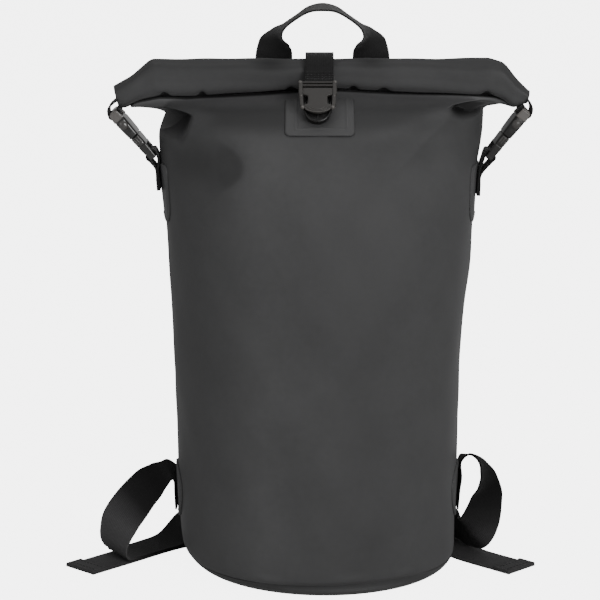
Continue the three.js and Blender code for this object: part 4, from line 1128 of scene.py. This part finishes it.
def makeClosureStrap():
    # Up the back, over the roll and down to the buckle, ribbed before its end; then the socket's loop
    back = onSkin(180, np.array([392, 402, 412, 420, 426]) * mm, overYoke)
    over = np.array([
        [12, 435], [7.2, 446], [6.6, 455], [3.5, 464], [-2, 469.4], [-8.5, 471.2], [-15, 470],
        [-20.2, 465.5], [-22.6, 458.4], [-26, 452.4], [-30.6, 448.3], [-34.6, 445.6], [-38.5, 441.8],
    ]) * mm
    over = np.column_stack([np.zeros(len(over)), over])
    frames = evenRibbon(np.vstack([back, over]), (1, 0, 0))
    total = frames["run"][-1]
    ribs = sum(bell(frames["run"], total - fromEnd * mm, 0.5 * mm) for fromEnd in (12.5, 15, 17.5, 20))
    isOut = frames["normal"][-1, 1] < 0
    addWebbing("closure_strap", frames, strapWidth, raised=1 + 0.9 * ribs, onTop=isOut)
    outside = stitchLook["lift"] * np.sign(frames["normal"][0, 1])
    addStitches("closure_stitches", frames, boxLines(3 * mm, 18 * mm, 9 * mm), outside)
    sewn = onSkin(0, np.array([427.5, 426.2, 425]) * mm, overPatch)
    loop = np.array([[0, -41, 424.8], [0, -46, 422.1], [0, -49.9, 421.3], [0, -51.9, 423.1]]) * mm
    frames = evenRibbon(np.vstack([sewn, loop]), (1, 0, 0))
    addWebbing("closure_anchor", frames, anchorWidth)


handle = {
    "width": 34 * mm, "spread": 43.5 * mm, "shift": 3 * mm, "back": 30 * mm, "top": 508 * mm, "tilt": 0.09,
}
handleRise = [  # in from the foot, below the top, then the width's direction sideways, to the back and up
    (0, 74, 1, 0, 0), (-0.5, 56, 1, 0.05, 0), (0, 42, 1, 0.25, 0), (0.4, 32, 0.85, 0.6, 0),
    (3, 23.5, 0.35, 0.95, 0), (10, 16.3, 0.05, 1, -0.01), (20.5, 8.6, 0, 1, 0), (31.5, 2, 0, 1, 0.05),
]


def makeGrabHandle():
    # Two feet on the yoke, mirrored, and a crown between them where the width lies front to back
    def half(sign):
        heights = np.array([402, 410, 418]) * mm
        out = handle["shift"] + sign * handle["spread"]
        turn = 180 - np.degrees(np.arcsin(out / sections(heights)[1]))
        feet = onSkin(turn, heights, overYoke)
        feetAcross = unit(skin(turn - 2, heights) - skin(turn + 2, heights))
        rise = np.array(handleRise)
        at = np.stack([
            handle["shift"] + sign * (handle["spread"] - rise[:, 0] * mm),
            np.full(len(rise), handle["back"]),
            handle["top"] - rise[:, 1] * mm,
        ], -1)
        across = np.stack([rise[:, 2], sign * rise[:, 3], sign * rise[:, 4]], -1)
        return np.vstack([feet, at]), np.vstack([feetAcross, across])

    leftAt, leftAcross = half(-1)
    rightAt, rightAcross = half(1)
    crown = np.array([[handle["shift"], handle["back"], handle["top"]]])
    frames = framesAlong(np.vstack([leftAt, crown, rightAt[::-1]]),
                         np.vstack([leftAcross, [[0, -1, -handle["tilt"]]], -rightAcross[::-1]]), 14)
    addWebbing("grab_handle", frames, handle["width"], columns=22)
    total = frames["run"][-1]
    outside = stitchLook["lift"] * np.sign(frames["normal"][0, 1])
    lines = boxLines(3 * mm, 16 * mm, 13 * mm) + boxLines(total - 16 * mm, total - 3 * mm, 13 * mm)
    addStitches("handle_stitches", frames, lines, outside)


tabEnds = {"left": (350, 368), "right": (345, 368)}  # lowest and highest sewn place of a side tab
tipLoop = {"left": (5, 0.8, 4), "right": (2.5, 2.2, 4.6)}  # off the tip, the end and the bar
rollTip = {"left": -178.5 * mm, "right": 183.5 * mm, "height": 432.6 * mm, "slope": 32.6}


def makeSideStraps(name, sign):
    # A loop from the roll's tip round the buckle's upper bar, and a tab from the side round its lower bar
    middle, up, across, out = sideAxes(name, sign)
    end = buckleSide["half"]
    slope = math.radians(rollTip["slope"]) * sign
    tipUp = np.array([math.sin(slope), 0, math.cos(slope)])
    outward = np.array([math.cos(slope), 0, -math.sin(slope)]) * sign
    tip = np.array([rollTip[name], middle[1], rollTip["height"]])

    def face(rise, out=0.0):
        return tip + outward * (0.7 + out) * mm + tipUp * rise * mm

    def near(along, lift):
        return middle + up * along + out * lift * mm

    offTip, offEnd, offBar = tipLoop[name]
    stations = [
        face(-2), face(-2, offTip), near(end + 4 * mm, offEnd), near(end + 0.5 * mm, offBar),
        near(end - 4 * mm, 5.4), near(end - 6 * mm, 3.6), near(end - 6 * mm, -3), near(end - 4 * mm, -5.6),
        near(end - mm, -5.4), face(-8, 1), face(-8),
    ]
    addWebbing("side_strap_" + name, evenRibbon(stations, across), strapWidth)
    tabLift = overPatch - 0.1 * mm
    doubled = tabLift + 1.45 * mm
    low, high = tabEnds[name]
    sewn = onSkin(sign * 90, np.array([low, (low + high) / 2, high]) * mm, tabLift)
    back = onSkin(sign * 90, np.array([low + 19, low + 9, low]) * mm, doubled)
    sewn[:, 1] = back[:, 1] = middle[1]
    loop = np.array([
        near(-end - 3 * mm, -2.4), near(1.5 * mm - end, -4.3), near(5 * mm - end, -4.8),
        near(6.2 * mm - end, -2), near(6.2 * mm - end, 2.4), near(4 * mm - end, 5), near(-end - mm, 4.6),
    ])
    frames = evenRibbon(np.vstack([sewn, loop, back]), across)
    addWebbing("side_tab_" + name, frames, strapWidth)
    total = frames["run"][-1]
    outside = 0.5 * mm * np.sign(sign * frames["normal"][-1, 0])
    lines = boxLines(total - 14 * mm, total - 2.5 * mm, 9 * mm)
    addStitches("tab_stitches_" + name, frames, lines, outside)


makeClosureStrap()
makeGrabHandle()
for sideName, sideSign in bothSides:
    makeSideStraps(sideName, sideSign)
print("straps ready")


# Buckles, built of rounded bars in a local frame: x across, y up along the buckle, z out of it

def barShape(along, aMiddle, aHalf, bMiddle, bHalf, axis="y", rounding=1.2, square=5, steps=26, sides=28):
    # Superellipse sections whose middles and halves are read off short lists, drawn in at both ends
    along = np.asarray(along, float)
    spread = -np.cos(np.linspace(0, math.pi, steps))
    place = (along[0] + along[-1]) / 2 + (along[-1] - along[0]) / 2 * spread
    order = np.argsort(along)
    inset = cornerInset(np.minimum(np.abs(place - along[0]), np.abs(place - along[-1])), rounding)
    turn = fullTurn(sides)

    def section(middles, halves, wave):
        listed = (np.broadcast_to(np.asarray(values, float), along.shape) for values in (middles, halves))
        middle, half = (np.interp(place, along[order], values[order]) for values in listed)
        return middle[:, None] + np.maximum(half - inset, 0.05)[:, None] * flatter(wave, 2 / square)[None]

    a, b = section(aMiddle, aHalf, np.cos(turn)), section(bMiddle, bHalf, np.sin(turn))
    run = np.broadcast_to(place[:, None], a.shape)
    return tubeShape(np.stack([a, run, b] if axis == "y" else [run, a, b], -1))


def knobShape(middle, halves, rings=10, sides=18):
    # An ellipsoid with its two ends cut flat
    rise = np.radians(np.linspace(-86, 86, rings))[:, None]
    turn = fullTurn(sides)[None]
    ball = np.broadcast_arrays(np.cos(rise) * np.cos(turn), np.cos(rise) * np.sin(turn), np.sin(rise))
    return tubeShape(np.asarray(middle, float) + np.stack(ball, -1) * np.asarray(halves, float))


def sweptShape(path, halfWide, halfDeep, sides=14):
    # A round bar along a local path in the buckle's plane, halfDeep out of it
    path = np.asarray(path, float)
    along = unit(np.gradient(path, axis=0))
    out = np.array([0, 0, 1.0])
    side = unit(np.cross(along, out))
    turn = fullTurn(sides)
    rings = (path[:, None] + side[:, None] * (halfWide * np.cos(turn))[None, :, None]
             + out[None, None] * (halfDeep * np.sin(turn))[None, :, None])
    return tubeShape(rings)


def addBuckle(name, parts, axes, material):
    # Parts, each a tone and a shape in local millimetres, set into the row frame by middle and directions;
    # tones above one are painted highlights and reflections
    middle, across, up, out = axes
    points, faces, flat = joined([shape for _, shape in parts])
    tones = np.concatenate([np.full(len(shape[0]), float(tone)) for tone, shape in parts])
    shape = middle + points * mm @ np.stack([across, up, out]), faces, flat
    addPiece(name, shape, material, tones)


def arc(radiusX, radiusY, middleY, start, end, count, z):
    # Points of an ellipse between two angles, at one height out of the buckle
    angle = np.radians(np.linspace(start, end, count))
    x, y = radiusX * np.cos(angle), middleY + radiusY * np.sin(angle)
    return np.stack([x, y, np.full(count, float(z))], -1)


closureBuckle = {"middle": np.array([-1.8, -43.5, 435.5]) * mm, "lean": 40}


def makeClosureBuckle():
    # The tongue's frame, bars, plate and ribs over the flat socket, leaning back with the strap; tones
    # above one are painted highlights on its knobs, arms and ribs
    lean = math.radians(closureBuckle["lean"])
    across, up = np.array([1.0, 0, 0]), np.array([0, math.sin(lean), math.cos(lean)])
    axes = closureBuckle["middle"], across, up, np.cross(across, up)
    tongue = []
    for side in (-1, 1):
        lower = side * np.array([14.7, 13.6])
        tongue += [
            (1.1, barShape([15.4, 1.4], side * 14.8, [1.8, 1.9], 3.4, [2.1, 2.1], rounding=1.2)),
            (2.8, knobShape((side * 15.2, 13.9, 4.6), (1.7, 1.4, 1.7))),
            (1.1, barShape([3.4, -11.2], lower, [1.8, 1.6], 3.3, [2.1, 1.9], rounding=1.0)),
            (2.2, knobShape((side * 14.4, -0.6, 5.0), (0.9, 0.9, 0.8))),
            (2.8, knobShape((side * 13.1, -11.6, 3.9), (1.8, 1.7, 2.1))),
        ]
    for height, middle, half in ((13.7, 3.9, 1.2), (10.4, 4.1, 1.3)):
        tongue.append((0.9, barShape([-14.4, 14.4], height, 0.75, middle, half, axis="x", rounding=0.5)))
    plate = barShape([8.2, 1.6, 0.2, -8, -9.4, -11.4, -13.6, -15.4, -16.6, -17.2], 0,
                     [13.6, 13.4, 8.6, 8.6, 12.4, 12.2, 10.4, 7.4, 4, 1.6], 3.15, 1.65, rounding=0.9,
                     square=7, steps=60, sides=40)
    tongue.append((1, plate))
    for tone, radius, height in ((1.9, 11.8, 4.75), (1.2, 9.0, 4.7), (1.2, 6.2, 4.7)):
        rib = arc(radius, radius * 0.52, -10.6, -14, -166, 30, height)
        tongue.append((tone, sweptShape(rib, 0.45, 0.4)))
    addBuckle("closure_buckle_tongue", tongue, axes, plastic)
    rim = np.vstack([[[11, 2, 0.6]], arc(11, 12.2, -11.4, 0, -180, 44, 0.6), [[-11, 2, 0.6]]])
    bowl = barShape([4, -6, -12, -18, -22.4, -24.4], 0, [12.6, 12.8, 12.2, 10.2, 6.8, 2.8], -2.3,
                    [2.3, 2.5, 2.5, 2.5, 2.4, 2.2], rounding=1.2, square=5, steps=40, sides=40)
    spine = barShape([-16, -22.6], 0, 0.8, 0.4, 1.2, rounding=0.6)
    socket = [(1, bowl), (1, sweptShape(rim, 1.4, 1.4)), (1, spine)]
    addBuckle("closure_buckle_socket", socket, axes, darkPlastic)


def makeSideBuckle(name, sign):
    # A socket with a bar, shoulders and pressing lugs above, and a ribbed tongue with its bar below; the
    # upper bar, shoulders, lugs and ribs carry painted highlights and reflections, the other parts are
    # darkened
    middle, up, across, out = sideAxes(name, sign)
    axes = middle, across, up, out
    end = buckleSide["half"] / mm
    box = barShape([end - 8.4, end - 12, end - 19, 3, -2], 0, [15.4, 16, 15.6, 15.6, 15], 0,
                   [4.6, 5.4, 5.2, 4.9, 4.6], rounding=1.2, square=6, steps=44, sides=36)
    socket = [(4.5, barShape([end, end - 3.8], 0, 15.2, 0, 4.2, rounding=1.9)), (0.25, box)]
    foot = barShape([-2.3, -7, -11, -14], 0, [15, 15.2, 15, 14], 0, [4.5, 4.4, 4.2, 3.8], rounding=0.8,
                    square=6)
    bar = barShape([-15, 15], 1.5 - end, 1.5, 0, 3.2, axis="x", rounding=1.0)
    tongue = [(0.55, foot), (0.3, bar)]
    for side in (-1, 1):
        socket.append((3.2, barShape([end - 1, end - 10], side * 14.7, 1.7, 0, [4.3, 5.2], rounding=1.0)))
        socket.append((1.4, knobShape((side * 14, end - 15.4, 0), (3.4, 5.4, 4.4))))
        tongue.append((0.3, barShape([-12, -end], side * 13.9, 1.5, 0, [3.9, 3.1], rounding=1.0)))
        for rib in (-2.2, 0, 2.2):
            tongue.append((1.3, barShape([-3.2, -9.6], side * 15, 0.55, rib, 0.6, rounding=0.3)))
    finish = sidePlastic if sign < 0 else plastic  # only the left one shows a glint
    addBuckle("side_buckle_socket_" + name, socket, axes, finish)
    addBuckle("side_buckle_tongue_" + name, tongue, axes, finish)


def makeLadderLock(name, sign):
    # Two side bars with three cross bars, and the webbing loop that holds the upper one
    middle, up, across = lockAxes(sign)
    lock = [(1, barShape([16, -16], side * 22, 2, 0, 2, rounding=1.4)) for side in (-1, 1)]
    for height, half in ((14, 2), (0.8, 3.2), (-13.2, 2.8)):
        lock.append((1, barShape([-22, 22], height, half, 0, 1.9, axis="x", rounding=0.8)))
    addBuckle("ladder_lock_" + name, lock, (middle, across, up, np.cross(across, up)), plastic)
    loop = np.array([[30.4, 1.8], [24, 2.8], [16, 3.8], [11.4, 3.2]]) * mm
    loop = np.vstack([loop * np.array([1, -1]), [[9.6 * mm, 0]], loop[::-1]])
    route = middle + up * loop[:, :1] + np.array([0, 1, 0]) * loop[:, 1:]
    addWebbing("lock_loop_" + name, evenRibbon(route, across), loopWidth)


makeClosureBuckle()
for sideName, sideSign in bothSides:
    makeSideBuckle(sideName, sideSign)
    makeLadderLock(sideName, sideSign)
print("buckles ready")


# Padded straps: a slack tube blown up by a cloth simulation, held at its bound edges

pad = {
    "width": 56 * mm, "thickness": 10 * mm, "start": 0.86, "voxel": 5 * mm, "pressure": 4, "frames": 20,
    "cap": 5 * mm, "held": 0.82, "heldEnds": 6,
}
binding = {"width": 6.5 * mm, "thickness": 4.2 * mm, "inset": 2.2 * mm}
padRoute = [  # out from the middle, height, lift off the back, tilt of the width
    (44, 392, 12, 0.19), (45, 378, 12, 0.19), (46, 350, 16, 0.2), (47, 310, 23, 0.2), (47, 260, 28, 0.2),
    (45, 200, 29, 0.18), (40.5, 140, 28, 0.1), (34.4, 103, 29, 0), (40.9, 81.6, 30.3, 0),
]


def padFrames(sign):
    # The strap's middle line off the back of the bag, with its half width, narrower at both ends
    out, height, lift, tilt = np.array(padRoute).T
    left, right, _, back = sections(height * mm)
    side = right if sign > 0 else left
    depth = back * np.sqrt(1 - (out * mm / side) ** 2) + lift * mm
    at = np.stack([sign * out * mm, depth, height * mm], -1)
    across = np.stack([np.ones(len(out)), -sign * tilt, np.zeros(len(out))], -1)
    frames = framesAlong(at, across, 12)
    place = np.linspace(0, 1, len(frames["at"]))
    narrowing = 0.16 * smooth(0.75, 1, place) + 0.1 * (1 - smooth(0, 0.15, place))
    frames["half"] = pad["width"] / 2 * (1 - narrowing)
    return frames


def makeShoulderStrap(name, sign):
    # A flat tube that is blown up, with a binding along each of its edges
    frames = padFrames(sign)
    turn = fullTurn(28)
    flat = frames["half"][:, None] * flatter(np.cos(turn), 0.6)[None]
    thick = flatter(np.sin(turn), 0.7) * pad["thickness"] / 2 * pad["start"]
    rings = (frames["at"][:, None] + frames["width"][:, None] * flat[..., None]
             + frames["normal"][:, None] * thick[None, :, None])
    piece = addPiece("shoulder_strap_" + name, tubeShape(rings), padCloth)
    blowUp(piece, frames)
    smoother = piece.modifiers.new("subdivision", "SUBSURF")
    smoother.levels = smoother.render_levels = 1
    for side in (-1, 1):
        edge = dict(frames)
        edge["at"] = frames["at"] + frames["width"] * (side * (frames["half"] - binding["inset"]))[:, None]
        shape = ribbonShape(edge, binding["width"], binding["thickness"], columns=10)
        ending = "_inner" if side * sign < 0 else "_outer"
        addPiece("strap_binding_" + name + ending, shape, webbing, extra=True)


def blowUp(piece, frames):
    # Voxel remesh, then cloth with pressure and no gravity; no point moves further than the cap
    remesh = piece.modifiers.new("remesh", "REMESH")
    remesh.mode = "VOXEL"
    remesh.voxel_size = pad["voxel"]
    freeze(piece)
    start = vertexPlaces(piece)
    gap = start[:, None] - frames["at"][None]
    nearest = np.argmin(np.sum(gap ** 2, axis=2), axis=1)
    offset = gap[np.arange(len(start)), nearest]
    sideways = np.abs(np.sum(offset * frames["width"][nearest], axis=1)) / frames["half"][nearest]
    held = piece.vertex_groups.new(name="held")
    ends = (nearest < pad["heldEnds"]) | (nearest >= len(frames["at"]) - pad["heldEnds"])
    held.add(np.nonzero((sideways > pad["held"]) | ends)[0].tolist(), 1, "REPLACE")
    cloth = piece.modifiers.new("cloth", "CLOTH")
    cloth.settings.use_pressure = True
    cloth.settings.uniform_pressure_force = pad["pressure"]
    cloth.settings.vertex_group_mass = "held"
    cloth.settings.effector_weights.gravity = 0
    cloth.settings.quality = 5
    cloth.collision_settings.use_collision = False
    cloth.point_cache.frame_start = 1
    cloth.point_cache.frame_end = pad["frames"]
    for number in range(1, pad["frames"] + 1):
        scene.frame_set(number)
    freeze(piece)
    scene.frame_set(1)
    moved = vertexPlaces(piece) - start
    length = np.linalg.norm(moved, axis=1, keepdims=True)
    kept = start + moved * np.minimum(1, pad["cap"] / np.maximum(length, 1e-9))
    piece.data.vertices.foreach_set("co", kept.ravel())
    piece.data.update()
    piece.vertex_groups.clear()
    dressMesh(piece.data, np.stack([kept[:, 0], kept[:, 2]], -1))


def vertexPlaces(piece):
    # The mesh's points as rows
    places = np.empty(len(piece.data.vertices) * 3)
    piece.data.vertices.foreach_get("co", places)
    return places.reshape(-1, 3)


def freeze(piece):
    # The evaluated mesh takes the place of the mesh and its modifiers
    graph = bpy.context.evaluated_depsgraph_get()
    mesh = bpy.data.meshes.new_from_object(piece.evaluated_get(graph))
    piece.modifiers.clear()
    piece.data = mesh


for sideName, sideSign in bothSides:
    makeShoulderStrap(sideName, sideSign)
print("padding ready")
